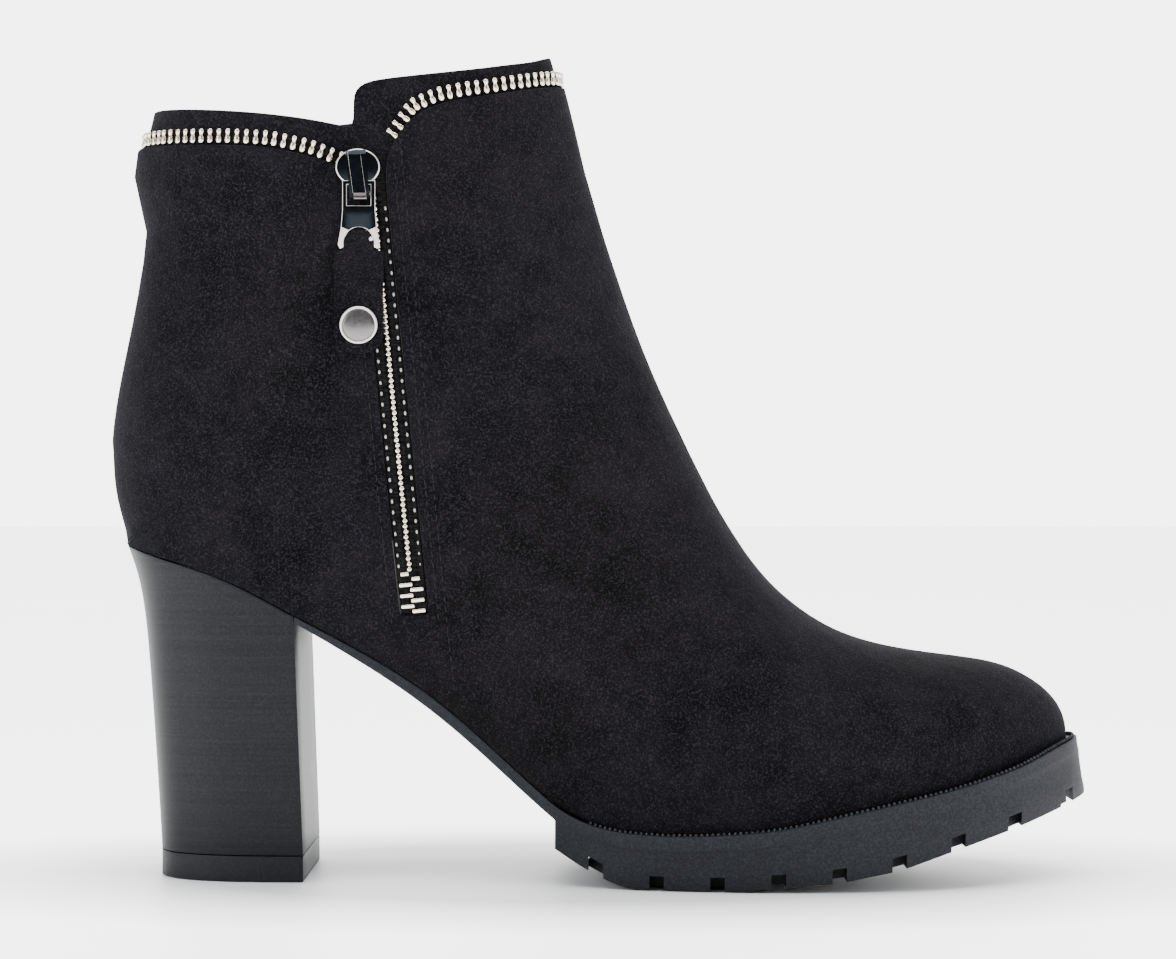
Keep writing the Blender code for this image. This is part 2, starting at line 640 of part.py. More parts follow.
def build_outsole():
    """Rubber unit: thin waist, thick forefoot with a stepped rim, and cross-cut lugs."""
    places, step = sole_places()
    inner, outer = sole_outline(welt)
    toe_y = inner[0, 1]
    reach = places[-1][0]
    grid = np.zeros((len(places), 6, 4, 3))
    for i, (x, _) in enumerate(places):
        at_tip = i == len(places) - 1
        ends = (side_y(inner, x), side_y(outer, x))
        if at_tip:
            ends = (toe_y, toe_y)
        middle = 0.5 * (ends[0] + ends[1])
        half = 0.5 * (ends[1] - ends[0])
        fade = min(1.0, half / (3 * CENTRE_GROOVE))
        top = float(sole_z(x)) - GAP
        place = x / BOOT_LENGTH + 0.5
        rim = float(np.interp(place, (0.20, 0.33), (RIM_AT_BREAST, RIM_THICKNESS)))
        tread = float(tread_z(x))
        heights = (tread, tread + LUG_DEPTH, top - rim, top)
        insets = (RIM_STEP + LUG_TAPER, RIM_STEP, RIM_STEP, RIM_STEP)
        for k, (z, inset) in enumerate(zip(heights, insets)):
            edge = max(half - inset * fade, 0.0)
            groove = 0.5 * CENTRE_GROOVE * fade
            across = (-half, -edge, -groove, groove, edge, half)
            for j, y in enumerate(across):
                grid[i, j, k] = (x - inset if at_tip and k < 3 else x, middle + y, z)
    present = np.ones((len(places) - 1, 5, 3), bool)
    present[:, (0, 4), :2] = False
    present[:, 2, 0] = False
    for i in range(len(places) - 1):
        if places[i + 1][0] <= step + 1e-6:
            present[i, :, :2] = False
            present[i, (0, 4), :] = True
            present[i, (0, 4), :2] = False
        if places[i][1]:
            present[i, :, 0] = False
    present[len(places) - 5:, 2, 0] = True
    return cells_to_object("outsole", grid, present)


def ladder_object(name, levels):
    """Solid between stacked outlines. Each outline runs from one side round to the other, and
    its caps are bars between the points that face each other."""
    points = np.concatenate(levels)
    count = len(levels[0])
    keys = {}
    index = []
    kept = []
    for p in points:
        key = tuple(np.round(p * 1e7).astype(int))
        if key not in keys:
            keys[key] = len(kept)
            kept.append(p)
        index.append(keys[key])
    faces = []

    def add(*corners):
        loop = []
        for c in corners:
            if index[c] not in loop:
                loop.append(index[c])
        if len(loop) > 2:
            faces.append(loop)

    for level in range(len(levels) - 1):
        a, b = level * count, (level + 1) * count
        for k in range(count - 1):
            add(a + k, a + k + 1, b + k + 1, b + k)
        add(a + count - 1, a, b, b + count - 1)
    for start in (0, (len(levels) - 1) * count):
        for k in range((count - 1) // 2):
            add(start + k, start + k + 1, start + count - 2 - k, start + count - 1 - k)
    return mesh_object(name, kept, faces)


END_EASE = 0.4              # how much closer the points of a sole's side lie at its two ends


def by_arc(line, count, ease=0.0):
    """Points spread along a line by its length, closer at the ends by a share called ease."""
    arc = np.concatenate([[0], np.cumsum(np.linalg.norm(np.diff(line, axis=0), axis=1))])
    t = np.linspace(0, 1, count)
    t = t * (1 - ease) + ease * 0.5 * (1 - np.cos(math.pi * t))
    return np.stack([np.interp(t * arc[-1], arc, line[:, k]) for k in range(line.shape[1])], 1)


def build_insole():
    """Insole inside the upper's foot, on the sole and on the heel."""
    wall = OUTER_LAYER + LINING_LAYER + 2 * GAP
    levels = []
    for lift, inset in ((0.5 * GAP, wall), (INSOLE_THICKNESS, wall + INSOLE_BEVEL)):
        def outset(x, inset=inset):
            toe = np.interp(x / BOOT_LENGTH + 0.5, (0.90, 0.98), (0.0, INSOLE_SHORT))
            return -inset - float(toe)
        inner, outer = sole_outline(outset)
        side = by_arc(inner, INSOLE_POINTS, END_EASE)
        far = by_arc(outer, INSOLE_POINTS, END_EASE)
        side[0] = far[0] = 0.5 * (side[0] + far[0])
        side[-1] = far[-1] = 0.5 * (side[-1] + far[-1])
        ring = np.concatenate([side, far[::-1][1:]])
        levels.append(np.column_stack([ring, sole_z(ring[:, 0]) + lift]))
    return ladder_object("insole", levels)


def heel_outline_on_floor(count=HEEL_POINTS):
    """Outline of the heel on the floor, from the inner corner of its breast round the back."""
    breast = from_back(BREAST_AT_FLOOR)
    depth = breast - from_back(HEEL_BACK_AT_FLOOR)
    centre = section(18)["base_y"]
    turn = np.linspace(0, math.pi, 181)
    x = breast - depth * np.sin(turn) ** (2 / HEEL_CORNER)
    y = np.sign(np.cos(turn)) * np.abs(np.cos(turn)) ** (2 / HEEL_CORNER)
    return by_arc(np.column_stack([x, centre - y * HEEL_FLOOR_WIDTH / 2]), count)


def heel_outline_at_seat(count=HEEL_POINTS):
    """Outline of the heel under the upper, cut off at the breast."""
    breast = from_back(BREAST_AT_SEAT)
    inner, outer = sole_outline(lambda x: -GAP)
    line = np.concatenate([inner, outer[::-1][1:]])
    kept = line[line[:, 0] < breast]
    first = (breast, side_y(inner, breast))
    last = (breast, side_y(outer, breast))
    return by_arc(np.vstack([first, kept, last]), count)


def heel_levels():
    """Outlines of the heel up its height. Its back flares towards the seat."""
    low = heel_outline_on_floor()
    high = heel_outline_at_seat()
    behind = (low[0, 0] - low[:, 0]) / (low[0, 0] - low[:, 0].min())
    top = sole_z(high[:, 0]) - GAP
    levels = []
    for share, flare in zip(HEEL_SHARES, HEEL_FLARE):
        weight = share + (flare - share) * behind
        flat = low + (high - low) * weight[:, None]
        z = (TOP_PIECE + GAP) + (top - TOP_PIECE - GAP) * share
        levels.append(np.column_stack([flat, z]))
    return levels


def build_heel():
    """Stacked block, flat at the breast and round at the back."""
    return ladder_object("heel", heel_levels())


def build_heel_tip():
    """Top piece, the part of the heel that stands on the floor."""
    ring = heel_outline_on_floor()
    return ladder_object("heel_tip", [np.column_stack([ring, np.full(len(ring), z)])
                                      for z in (0.0, TOP_PIECE)])


def inner_side(x, z, lift=0.0):
    """Point on the inner side of the boot at x and z, lifted off it along its normal."""
    def at(px, pz):
        s = section(row_through(px, pz))
        run = s["top"] - s["base"]
        q = np.dot(np.array((px, pz)) - s["base"], run) / np.dot(run, run)
        return section_point(s, np.array(q), -1)
    step = 0.0015
    point = at(x, z)
    slope_x = (at(x + step, z) - at(x - step, z)) / (2 * step)
    slope_z = (at(x, z + step) - at(x, z - step)) / (2 * step)
    normal = np.cross(slope_x, slope_z)
    if normal[1] > 0:
        normal = -normal
    return point + normal / np.linalg.norm(normal) * lift


def zip_point(drop, across, lift):
    """Point on the zip: distance down from its top, offset towards the toe, height off the skin."""
    start, along = zip_line(across)
    x, z = start + along * drop
    return inner_side(x, z, lift)


def zip_length():
    """Length of the zip's slot."""
    return float(np.linalg.norm(ZIP_TOP - ZIP_BOTTOM))


def chain_start():
    """Distance from the zip's top to the first closed tooth, below the slider."""
    return ZIP_TOP[1] - SLIDER_CENTRE[1] + SLIDER_HALF + 2 * GAP


def build_zip_tape():
    """Tape at the bottom of the slot."""
    half = SLOT_HALF - GAP
    floor = -OUTER_LAYER + GAP
    drops = np.linspace(GAP, zip_length() - 2 * GAP, 19)
    grid = np.zeros((len(drops), 3, 2, 3))
    for i, drop in enumerate(drops):
        for j, across in enumerate((-half, 0, half)):
            for k, lift in enumerate((floor, floor + TAPE_THICKNESS)):
                grid[i, j, k] = zip_point(drop, across, lift)
    return cells_to_object("zip_tape", grid, np.ones((len(drops) - 1, 2, 1), bool))


def build_zip_chain():
    """Closed chain. Teeth stand out to the two sides in turn, and the stop teeth to both."""
    start, end = chain_start(), zip_length() - 4 * GAP
    stop = end - STOP_TEETH * CHAIN_PITCH
    count = 2 * int((stop - start) / CHAIN_PITCH)
    drops = list(np.linspace(start, stop, count + 1))
    drops += list(np.linspace(stop, end, 2 * STOP_TEETH + 1))[1:]
    low = -OUTER_LAYER + 2 * GAP + TAPE_THICKNESS
    grid = np.zeros((len(drops), 4, 2, 3))
    across = (-CHAIN_HALF, -CHAIN_CORE, CHAIN_CORE, CHAIN_HALF)
    for i, drop in enumerate(drops):
        middle = zip_point(drop, 0, 0)
        lifted = zip_point(drop, 0, 1.0) - middle
        ahead = zip_point(drop, CHAIN_HALF, 0) - middle
        for j, offset in enumerate(across):
            foot = middle + ahead * (offset / CHAIN_HALF)
            for k, lift in enumerate((low, CHAIN_PROUD)):
                grid[i, j, k] = foot + lifted * lift
    present = np.zeros((len(drops) - 1, 3, 1), bool)
    present[:, 1] = True
    for i in range(len(drops) - 1):
        if i < count:
            present[i, 0 if i % 2 else 2] = True
        elif (i - count) % 2:
            present[i] = True
    return cells_to_object("zip_chain", grid, present)


def collar_line(skin, normal, first, last):
    """Edge of the outer layer between two columns: points, outward normals and ways up."""
    points = skin[-2, first:last + 1]
    ways = normal[-2, first:last + 1]
    ups = skin[-1, first:last + 1] - points
    ups /= np.linalg.norm(ups, axis=1, keepdims=True)
    return points, ways, ups


def build_collar_teeth(name, skin, normal, spans):
    """Row of open teeth that stands on the edge of the outer layer, in front of the facing."""
    lines = [collar_line(skin, normal, a, b) for a, b in spans]
    points, ways, ups = (np.concatenate([line[k] if n == 0 else line[k][1:]
                                         for n, line in enumerate(lines)]) for k in range(3))
    arc = np.concatenate([[0], np.cumsum(np.linalg.norm(np.diff(points, axis=0), axis=1))])
    clear = 1.5 * GAP
    count = int((arc[-1] - 2 * clear) / COLLAR_TOOTH_PITCH)
    places = [clear]
    for k in range(count):
        start = clear + k * COLLAR_TOOTH_PITCH
        places += [start + COLLAR_SPACE * COLLAR_TOOTH_PITCH, start + COLLAR_TOOTH_PITCH]
    places.append(places[-1] + COLLAR_SPACE * COLLAR_TOOTH_PITCH)
    places = np.clip(places, clear, arc[-1] - clear)
    grid = np.zeros((len(places), 3, 2, 3))
    for i, place in enumerate(places):
        p, way, up = (np.array([np.interp(place, arc, values[:, a]) for a in range(3)])
                      for values in (points, ways, ups))
        way /= np.linalg.norm(way)
        for j, rise in enumerate((GAP, GAP + COLLAR_TOOTH_BASE, COLLAR_TOOTH_BASE + COLLAR_TOOTH)):
            for k, depth in enumerate((OUTER_LAYER - GAP, OUTER_LAYER - GAP - COLLAR_TOOTH_THICK)):
                grid[i, j, k] = p - way * depth + up * rise
    present = np.ones((len(places) - 1, 2, 1), bool)
    present[0::2, 1] = False
    return cells_to_object(name, grid, present)


def flat_piece(name, outlines, thickness):
    """Flat plate from closed outlines in XZ, the later ones being holes, centred on y = 0."""
    curve = bpy.data.curves.new(name, "CURVE")
    curve.dimensions = "2D"
    curve.fill_mode = "BOTH"
    curve.extrude = thickness / 2
    for outline in outlines:
        spline = curve.splines.new("POLY")
        spline.points.add(len(outline) - 1)
        for point, (x, z) in zip(spline.points, outline):
            point.co = (x, z, 0, 1)
        spline.use_cyclic_u = True
    obj = bpy.data.objects.new(name, curve)
    bpy.context.scene.collection.objects.link(obj)
    bpy.context.view_layer.update()
    graph = bpy.context.evaluated_depsgraph_get()
    mesh = bpy.data.meshes.new_from_object(obj.evaluated_get(graph))
    mesh.name = name
    bm = bmesh.new()
    bm.from_mesh(mesh)
    bmesh.ops.remove_doubles(bm, verts=bm.verts, dist=1e-6)
    bmesh.ops.rotate(bm, verts=bm.verts, matrix=Matrix.Rotation(math.pi / 2, 3, "X"))
    bmesh.ops.recalc_face_normals(bm, faces=bm.faces)
    bm.to_mesh(mesh)
    bm.free()
    bpy.data.objects.remove(obj)
    plate = bpy.data.objects.new(name, mesh)
    PARTS.objects.link(plate)
    return plate


def slider_frame():
    """Place of the slider on the skin, leaning with the zip."""
    centre = Vector(inner_side(*SLIDER_CENTRE))
    _, along = zip_line(0)
    up = Vector((-along[0], 0, -along[1]))
    out = Vector((0, -1, 0))
    across = up.cross(out)
    return centre, Matrix((across, out, up)).transposed().to_4x4()


def build_slider():
    """Oval body with a bridge over it, under which the pull's bar turns."""
    bpy.ops.mesh.primitive_cylinder_add(vertices=24, radius=SLIDER_HALF, depth=SLIDER_THICK,
                                        location=(0, 0, 0), rotation=(math.pi / 2, 0, 0))
    body = bpy.context.object
    body.name = "zip_slider"
    body.data.name = "zip_slider"
    bpy.ops.object.transform_apply(location=True, rotation=True, scale=True)
    body.location = (0, 2 * GAP + SLIDER_THICK / 2, 0)
    bpy.ops.object.transform_apply(location=True, rotation=False, scale=False)
    face = 2 * GAP + SLIDER_THICK
    roof = face + CROWN_SPACE
    top = roof + CROWN_BAR
    profile = [
        (CROWN_TOP, face - 3 * GAP), (CROWN_TOP, top - CROWN_BAR), (CROWN_TOP - CROWN_BAR, top),
        (CROWN_BAR - CROWN_BOTTOM, top), (-CROWN_BOTTOM, roof), (-CROWN_BOTTOM, face),
        (-SLIDER_HALF + CROWN_BAR, face - 4 * GAP), (-SLIDER_HALF + CROWN_BAR, face),
        (CROWN_BAR - CROWN_BOTTOM, face + GAP), (CROWN_BAR - CROWN_BOTTOM, roof),
        (CROWN_TOP - CROWN_BAR, roof), (CROWN_TOP - CROWN_BAR, face - 3 * GAP),
    ]
    half = CROWN_WIDTH / 2
    points = [(side * half, y, z) for side in (-1, 1) for z, y in profile]
    count = len(profile)
    faces = [list(range(count)), list(range(count, 2 * count))[::-1]]
    faces += [[k, (k + 1) % count, count + (k + 1) % count, count + k] for k in range(count)]
    bridge = mesh_object("bridge", points, faces)
    PARTS.objects.unlink(bridge)
    CUTTERS.objects.link(bridge)
    bridge.hide_render = True
    bridge.display_type = "WIRE"
    union = body.modifiers.new("Bridge", "BOOLEAN")
    union.operation = "UNION"
    union.object = bridge
    centre, turn = slider_frame()
    for collection in list(body.users_collection):
        collection.objects.unlink(body)
    PARTS.objects.link(body)
    bevel = body.modifiers.new("Edge", "BEVEL")
    bevel.width = GAP
    bevel.segments = 1
    bevel.angle_limit = math.radians(50)
    body.modifiers.move(1, 0)
    place = Matrix.Translation(centre) @ turn
    body.matrix_world = place
    bridge.matrix_world = place
    return body


def hinge_point():
    """Centre of the bar on which the pull turns."""
    centre, turn = slider_frame()
    lift = 2 * GAP + SLIDER_THICK + CROWN_SPACE / 2
    return centre + turn.to_3x3() @ Vector((0, lift, -HINGE_BELOW))


def build_pull(hinge):
    """Forked metal pull. Its bar lies on the hinge axis."""
    bar = PULL_THICK / 2
    side = [(PULL_HALF, bar), (PULL_HALF, -PULL_WINDOW - 2 * bar),
            (PULL_HALF + 0.3 * (PULL_FOOT_HALF - PULL_HALF), -PULL_WAIST),
            (PULL_FOOT_HALF, -PULL_LENGTH + 2 * bar), (PULL_FOOT_HALF - bar, -PULL_LENGTH),
            (PULL_FOOT_HALF - PULL_LEG, -PULL_LENGTH + bar)]
    arch_half = PULL_FOOT_HALF - PULL_LEG
    arch = [(arch_half * math.cos(a), -PULL_WAIST - 2 * PULL_LEG + 2 * PULL_LEG * math.sin(a))
            for a in np.linspace(0, math.pi, 13)]
    outline = side + arch + [(-x, z) for x, z in reversed(side)]
    window = [(PULL_WINDOW_HALF, -bar), (-PULL_WINDOW_HALF, -bar),
              (-PULL_WINDOW_HALF, -PULL_WINDOW), (PULL_WINDOW_HALF, -PULL_WINDOW)]
    pull = flat_piece("zip_pull", [outline, window], PULL_THICK)
    pull.location = hinge
    return pull


def build_tab(hinge):
    """Suede tab held in the fork, narrow between its legs and full below them."""
    narrow = PULL_FOOT_HALF - PULL_LEG - GAP
    start = PULL_WAIST + GAP
    end = start + TAB_LENGTH
    crown = 2 * PULL_LEG
    top = [(narrow * math.cos(a), -start - crown + (crown - GAP) * math.sin(a))
           for a in np.linspace(0, math.pi, 11)]
    shoulder = PULL_LENGTH + GAP
    foot = [(TAB_HALF * math.cos(a), -end + TAB_HALF - TAB_HALF * math.sin(a))
            for a in np.linspace(math.pi, 0, 15)]
    outline = (top + [(-narrow, -shoulder), (-TAB_HALF, -shoulder - GAP)] + foot
               + [(TAB_HALF, -shoulder - GAP), (narrow, -shoulder)])
    tab = flat_piece("pull_tab", [outline], TAB_THICK)
    tab.location = hinge
    return tab


def build_rivet(hinge):
    """Domed rivet on the tab, turned round an axis that points out of the boot."""
    face = TAB_THICK / 2 + GAP
    profile = [(0.0, face + RIVET_RISE)]
    for k in range(1, 6):
        a = k / 5 * math.pi / 2
        profile.append((RIVET_RADIUS * math.sin(a), face + 0.4 * RIVET_RISE
                        + 0.6 * RIVET_RISE * math.cos(a)))
    profile += [(RIVET_RADIUS, face), (0.0, face)]
    mesh = bpy.data.meshes.new("pull_rivet")
    mesh.from_pydata([(r, 0, h) for r, h in profile], [(k, k + 1) for k in range(len(profile) - 1)],
                     [])
    rivet = bpy.data.objects.new("pull_rivet", mesh)
    PARTS.objects.link(rivet)
    screw = rivet.modifiers.new("Turn", "SCREW")
    screw.steps = 24
    screw.render_steps = 24
    screw.use_merge_vertices = True
    screw.merge_threshold = 0.00001
    rivet.rotation_euler = (math.pi / 2, 0, 0)
    rivet.location = hinge + Vector((0, 0, -RIVET_DROP))
    return rivet


def collection(name):
    """New collection in the scene."""
    made = bpy.data.collections.new(name)
    bpy.context.scene.collection.children.link(made)
    return made


for old in list(bpy.data.objects):
    bpy.data.objects.remove(old)
PARTS = collection("zip_ankle_boot")
CUTTERS = collection("cutters")

suede = paint("black suede", (0.012, 0.011, 0.012), 0.95)
lining = paint("black lining", (0.02, 0.02, 0.022), 0.8)
rubber = paint("slate rubber", (0.045, 0.050, 0.060), 0.6)
stacked = paint("stacked heel", (0.030, 0.033, 0.040), 0.45)
gold = paint("pale gold teeth", (0.80, 0.74, 0.62), 0.25, 1.0)
gunmetal = paint("gunmetal", (0.20, 0.20, 0.21), 0.28, 1.0)
cloth = paint("zip tape", (0.015, 0.015, 0.017), 0.9)

SKIN, CLOSED, SLOT_INDEX = upper_skin()
NORMAL = outward(SKIN, CLOSED)
finish(build_upper(SKIN, NORMAL, CLOSED, SLOT_INDEX), suede)
finish(build_outsole(), rubber)
finish(build_insole(), lining)
finish(build_heel(), stacked)
finish(build_heel_tip(), rubber)
finish(build_zip_tape(), cloth)
finish(build_zip_chain(), gold)
finish(build_collar_teeth("collar_teeth_front", SKIN, NORMAL,
                          [(RIGHT_COLUMN, RIDGE_COLUMN + COLUMNS_OUTER_SIDE // 2)]), gold)
finish(build_collar_teeth("collar_teeth_back", SKIN, NORMAL,
                          [(RIDGE_COLUMN + COLUMNS_OUTER_SIDE // 2, LAST_COLUMN),
                           (0, LEFT_COLUMN)]), gold)
finish(build_slider(), gunmetal)
HINGE = hinge_point()
finish(build_pull(HINGE), gunmetal)
finish(build_tab(HINGE), suede)
build_rivet(HINGE).data.materials.append(gunmetal)
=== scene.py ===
import math

import bmesh
import bpy
import numpy as np
from mathutils import Matrix, Vector
from mathutils.bvhtree import BVHTree


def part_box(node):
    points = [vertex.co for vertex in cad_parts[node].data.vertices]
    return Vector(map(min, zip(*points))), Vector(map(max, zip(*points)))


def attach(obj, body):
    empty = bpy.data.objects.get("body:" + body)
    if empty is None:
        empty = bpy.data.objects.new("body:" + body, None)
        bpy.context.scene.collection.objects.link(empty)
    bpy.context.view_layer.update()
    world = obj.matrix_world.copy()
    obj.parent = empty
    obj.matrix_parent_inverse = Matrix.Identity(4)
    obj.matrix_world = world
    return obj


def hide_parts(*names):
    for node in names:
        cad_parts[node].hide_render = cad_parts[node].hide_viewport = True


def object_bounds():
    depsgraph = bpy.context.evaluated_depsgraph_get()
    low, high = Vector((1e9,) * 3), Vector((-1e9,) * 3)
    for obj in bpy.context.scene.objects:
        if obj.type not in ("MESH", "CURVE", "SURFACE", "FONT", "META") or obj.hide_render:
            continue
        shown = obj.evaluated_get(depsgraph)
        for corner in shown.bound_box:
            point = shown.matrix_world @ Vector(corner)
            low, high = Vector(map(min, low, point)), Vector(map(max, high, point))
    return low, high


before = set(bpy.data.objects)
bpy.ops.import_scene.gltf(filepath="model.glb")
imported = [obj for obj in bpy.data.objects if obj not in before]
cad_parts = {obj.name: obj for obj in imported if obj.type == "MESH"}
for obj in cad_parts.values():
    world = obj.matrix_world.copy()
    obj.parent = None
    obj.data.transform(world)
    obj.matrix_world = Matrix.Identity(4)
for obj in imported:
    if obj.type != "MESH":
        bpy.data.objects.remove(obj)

cad_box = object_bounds()
LOW = Vector(cad_box[0])
LENGTH = cad_box[1][0] - cad_box[0][0]
HEIGHT = cad_box[1][2] - cad_box[0][2]

# Camera of the photograph: level, square to the boot, pixels of its 1176 by 959 frame
PHOTO_SIZE = (1176, 959)
FOCAL_PIXELS = 3278.5
SENSOR_WIDTH = 36.0
CAMERA_PLACE = Vector((-0.00155, -0.830, 0.099))

# Zip, as in the part: its ends in X and Z, its way down the boot, and the stretch with teeth
ZIP_TOP = Vector((-0.05505, 0.1783))
ZIP_BOTTOM = Vector((-0.04395, 0.0658))
ZIP_RUN = (ZIP_BOTTOM - ZIP_TOP).length
ZIP_ALONG = (ZIP_BOTTOM - ZIP_TOP).normalized()
ZIP_ACROSS = Vector((-ZIP_ALONG.y, ZIP_ALONG.x))
ZIP_REACH = 0.0062          # from the zip's middle to the skin that holds its level
CHAIN_START = 0.0093
CHAIN_END = ZIP_RUN - 0.0014
CHAIN_PITCH = 0.00132
BEAD_SIZE = (0.00070, 0.00072, 0.00058)
BEAD_STAGGER = 0.00006
BEAD_LIFT = 0.0001

# Stop teeth at the zip's lower end: bars from both sides in turn, the first ones short
STOP_COUNT = 8
STOP_LENGTH = 0.0089
STOP_PITCH = 0.00132
STOP_SIZE = (0.00100, 0.0033, 0.0011)
STOP_EDGE = 0.00028
STOP_OFFSET = 0.0013
STOP_LIFT = 0.0002
SHORT_STOPS = 2
SHORT_SHARE = 0.62

# Dark beads beside the teeth, painted shade where the teeth's metal legs lie in shadow, and the stitches
# outside them, their pale colour a painted glint off the thread
LEG_SHADE_SIZE = (0.0011, 0.00062, 0.0005)
LEG_SHADE_PITCH = 0.0016
LEG_SHADE_OFFSET = 0.00135
LEG_SHADE_LIFT = -0.00035
# Stitch dots beside the tape: their pale colour is a painted glint off the thread
DOT_SIZE = (0.00052, 0.00030, 0.00030)
DOT_PITCH = 0.00265
DOT_OFFSET = 0.00265
DOT_LIFT = -0.00045
DOT_START = CHAIN_START + 0.004

# Open teeth round the collar: the foot, then steps of height and of scale along and across
TOOTH_FOOT = (0.0017, 0.0017, 0.0014)
TOOTH_STEPS = (
    (0.0005, 0.90, 0.90),
    (0.0004, 0.60, 0.75),
    (0.0003, 1.20, 1.10),
    (0.0005, 1.35, 1.15),
    (0.0005, 1.00, 1.00),
    (0.0003, 0.60, 0.60),
)
TOOTH_DROP = 0.0038         # from the top of the CAD tooth down to the foot
COLLAR_MIDDLE = Vector((-0.060, 0.001, 0.19))

# Black stitches beside the zip: name, place across it, and the row's start and end down it
STITCH_PITCH = 0.0025
STITCH_LENGTH = 0.0017
STITCH_THICK = 0.00034
STITCH_LIFT = 0.00008
STITCH_SAMPLES = 40
STITCH_ROWS = (
    ("stitches_front_1", 0.0058, 0.002, ZIP_RUN + 0.002),
    ("stitches_front_2", 0.0078, -0.004, ZIP_RUN + 0.020),
    ("stitches_back", -0.0058, 0.012, ZIP_RUN + 0.002),
)

# Sole: its front end leans back towards its top edge, and ribs stand round that edge
TOE_LEAN = 0.0022
TOE_START = 0.100
TOE_RUN = 0.018
TOE_BOTTOM = 0.0215
TOE_RISE = 0.015
RAND_START = -0.002
RAND_PITCH = 0.00136
RAND_INSET = 0.0011
RAND_LIFT = 0.0002
RIB_SIZE = (0.00095, 0.0010, 0.0013)
FOREFOOT_MIDDLE = Vector((0.03, 0.002, 0.02))

# Dark walls inside the tread's edge, standing in for the shade under the sole seen through the grooves:
# painted shade. Start, end and turn are shares of the length.
WALL_START = 0.478
WALL_END = 0.974
WALL_CUTS = 60
WALL_WIDTH = 0.0026
WALL_INSET = 0.0075
WALL_LIFT = 0.0006
WALL_SINK = 0.0015
WALL_ROOF = 0.01            # used where no sole is met above
WALL_TURN = 0.85            # from here on the walls come closer to the edge
WALL_TURN_RUN = 0.12
WALL_TURN_GAIN = 0.65
SPRING_START = 0.7          # from here on the toe rises
SPRING_RISE = 0.018
EDGE_HEIGHT = 0.012         # height at which the sole's edge is felt, under the ball

# Slider, pull, tab and rivet. Their dressed forms stand a little further back on the hinge.
PULL_SHIFT = -0.0009
SLIDER_EDGE = 0.00030
FORK_EDGE = 0.00036
TAB_EDGE = 0.00045
TAB_WIDTH = 0.0118
LEGS_TOP = 0.1588           # the fork's legs below this height take the bright metal, a painted highlight
LEGS_GAP = 0.0026           # from the fork's middle to its legs
PLATE_SIZE = (0.0054, 0.0045)
PLATE_DEPTH = 0.0011
PLATE_EDGE = 0.00030
PLATE_PROUD = 0.0003
PLATE_FEELER = 0.0038       # where the slider's face beside the bridge is felt
CROWN_WIDTH = 0.0031
CROWN_START = Vector((-0.0008, 0, -0.0007))
CROWN_RUN = Vector((0.0016, 0, -0.0118))
CROWN_CUTS = 15
CROWN_LIFT = 0.0002
CROWN_THICK = 0.0007
CROWN_EDGE = 0.00042
CROWN_FOOT = 0.85           # share of the run after which the strip is nickel
# Bright bead in the fork's arch: a painted glint on the pull's bar
GLINT_PLACE = Vector((-0.0543, 0.1575))
GLINT_SIZE = (0.00055, 0.00045, 0.00055)
RIVET_CAP = 0.93            # shares of the rivet's radius and of its rise
RIVET_RIM = 0.07
RIVET_DOME = 0.55
RIVET_RIM_LIFT = 0.25

# Folds pressed into the suede. side: -1 inner, 1 outer. Points are shares of the length from the
# back and of the height from the floor. depth under 0 is a ridge. Depth and width are in metres.
FOLDS = [
    ("instep", -1, [(.560, .470), (.600, .430), (.625, .385)], 0.0008, 0.0060),
    ("instep", 1, [(.550, .480), (.590, .430), (.615, .375)], 0.0009, 0.0060),
    ("vamp front", -1, [(.655, .330), (.690, .285), (.700, .235)], 0.0007, 0.0055),
    ("vamp front", 1, [(.645, .340), (.680, .290), (.690, .230)], 0.0008, 0.0055),
    ("vamp ridge", -1, [(.620, .350), (.650, .300), (.660, .250)], -0.0005, 0.0050),
    ("vamp back", -1, [(.580, .330), (.600, .280), (.590, .220)], 0.0006, 0.0060),
    ("ball", -1, [(.500, .250), (.560, .200), (.640, .190)], 0.0005, 0.0070),
    ("ball", 1, [(.520, .250), (.580, .205), (.660, .190)], 0.0006, 0.0070),
    ("ankle front", -1, [(.470, .700), (.420, .640), (.400, .560)], 0.0006, 0.0080),
    ("ankle front", 1, [(.460, .700), (.400, .650), (.340, .620)], 0.0008, 0.0080),
    ("tendon", -1, [(.050, .690), (.110, .670), (.170, .690)], 0.0010, 0.0065),
    ("tendon", 1, [(.050, .690), (.120, .665), (.190, .680)], 0.0010, 0.0065),
    ("collar roll", -1, [(-.080, .853), (.060, .848), (.200, .845)], -0.0023, 0.0080),
    ("collar roll", 1, [(-.080, .853), (.060, .848), (.200, .845)], -0.0023, 0.0080),
    ("neck", -1, [(-.080, .785), (.060, .780), (.190, .770)], 0.0008, 0.0080),
    ("neck", 1, [(-.080, .785), (.060, .780), (.190, .770)], 0.0008, 0.0080),
    ("heel cup", -1, [(.070, .520), (.150, .500), (.230, .530)], 0.0005, 0.0090),
    ("heel cup", 1, [(.070, .530), (.150, .500), (.240, .520)], 0.0006, 0.0090),
]

# Corner of the front facing, in X and Z, and how far it reaches back over the notch
FACING_CORNER = (-0.0552, 0.1945)
FACING_PUSH = 0.0024
FACING_SPREAD = 0.006

# The outer side of the collar lies lower across from the zip
FAR_COLLAR_DROP = 0.0040
FAR_COLLAR_START = 0.183
FAR_COLLAR_RISE = 0.006
FAR_COLLAR_MIDDLE = -0.066
FAR_COLLAR_SPREAD = 0.020

# Reach over which a change fades from one side of the boot to the other
SIDE_FADE = 0.003
FOLD_SIDE_FADE = 0.006

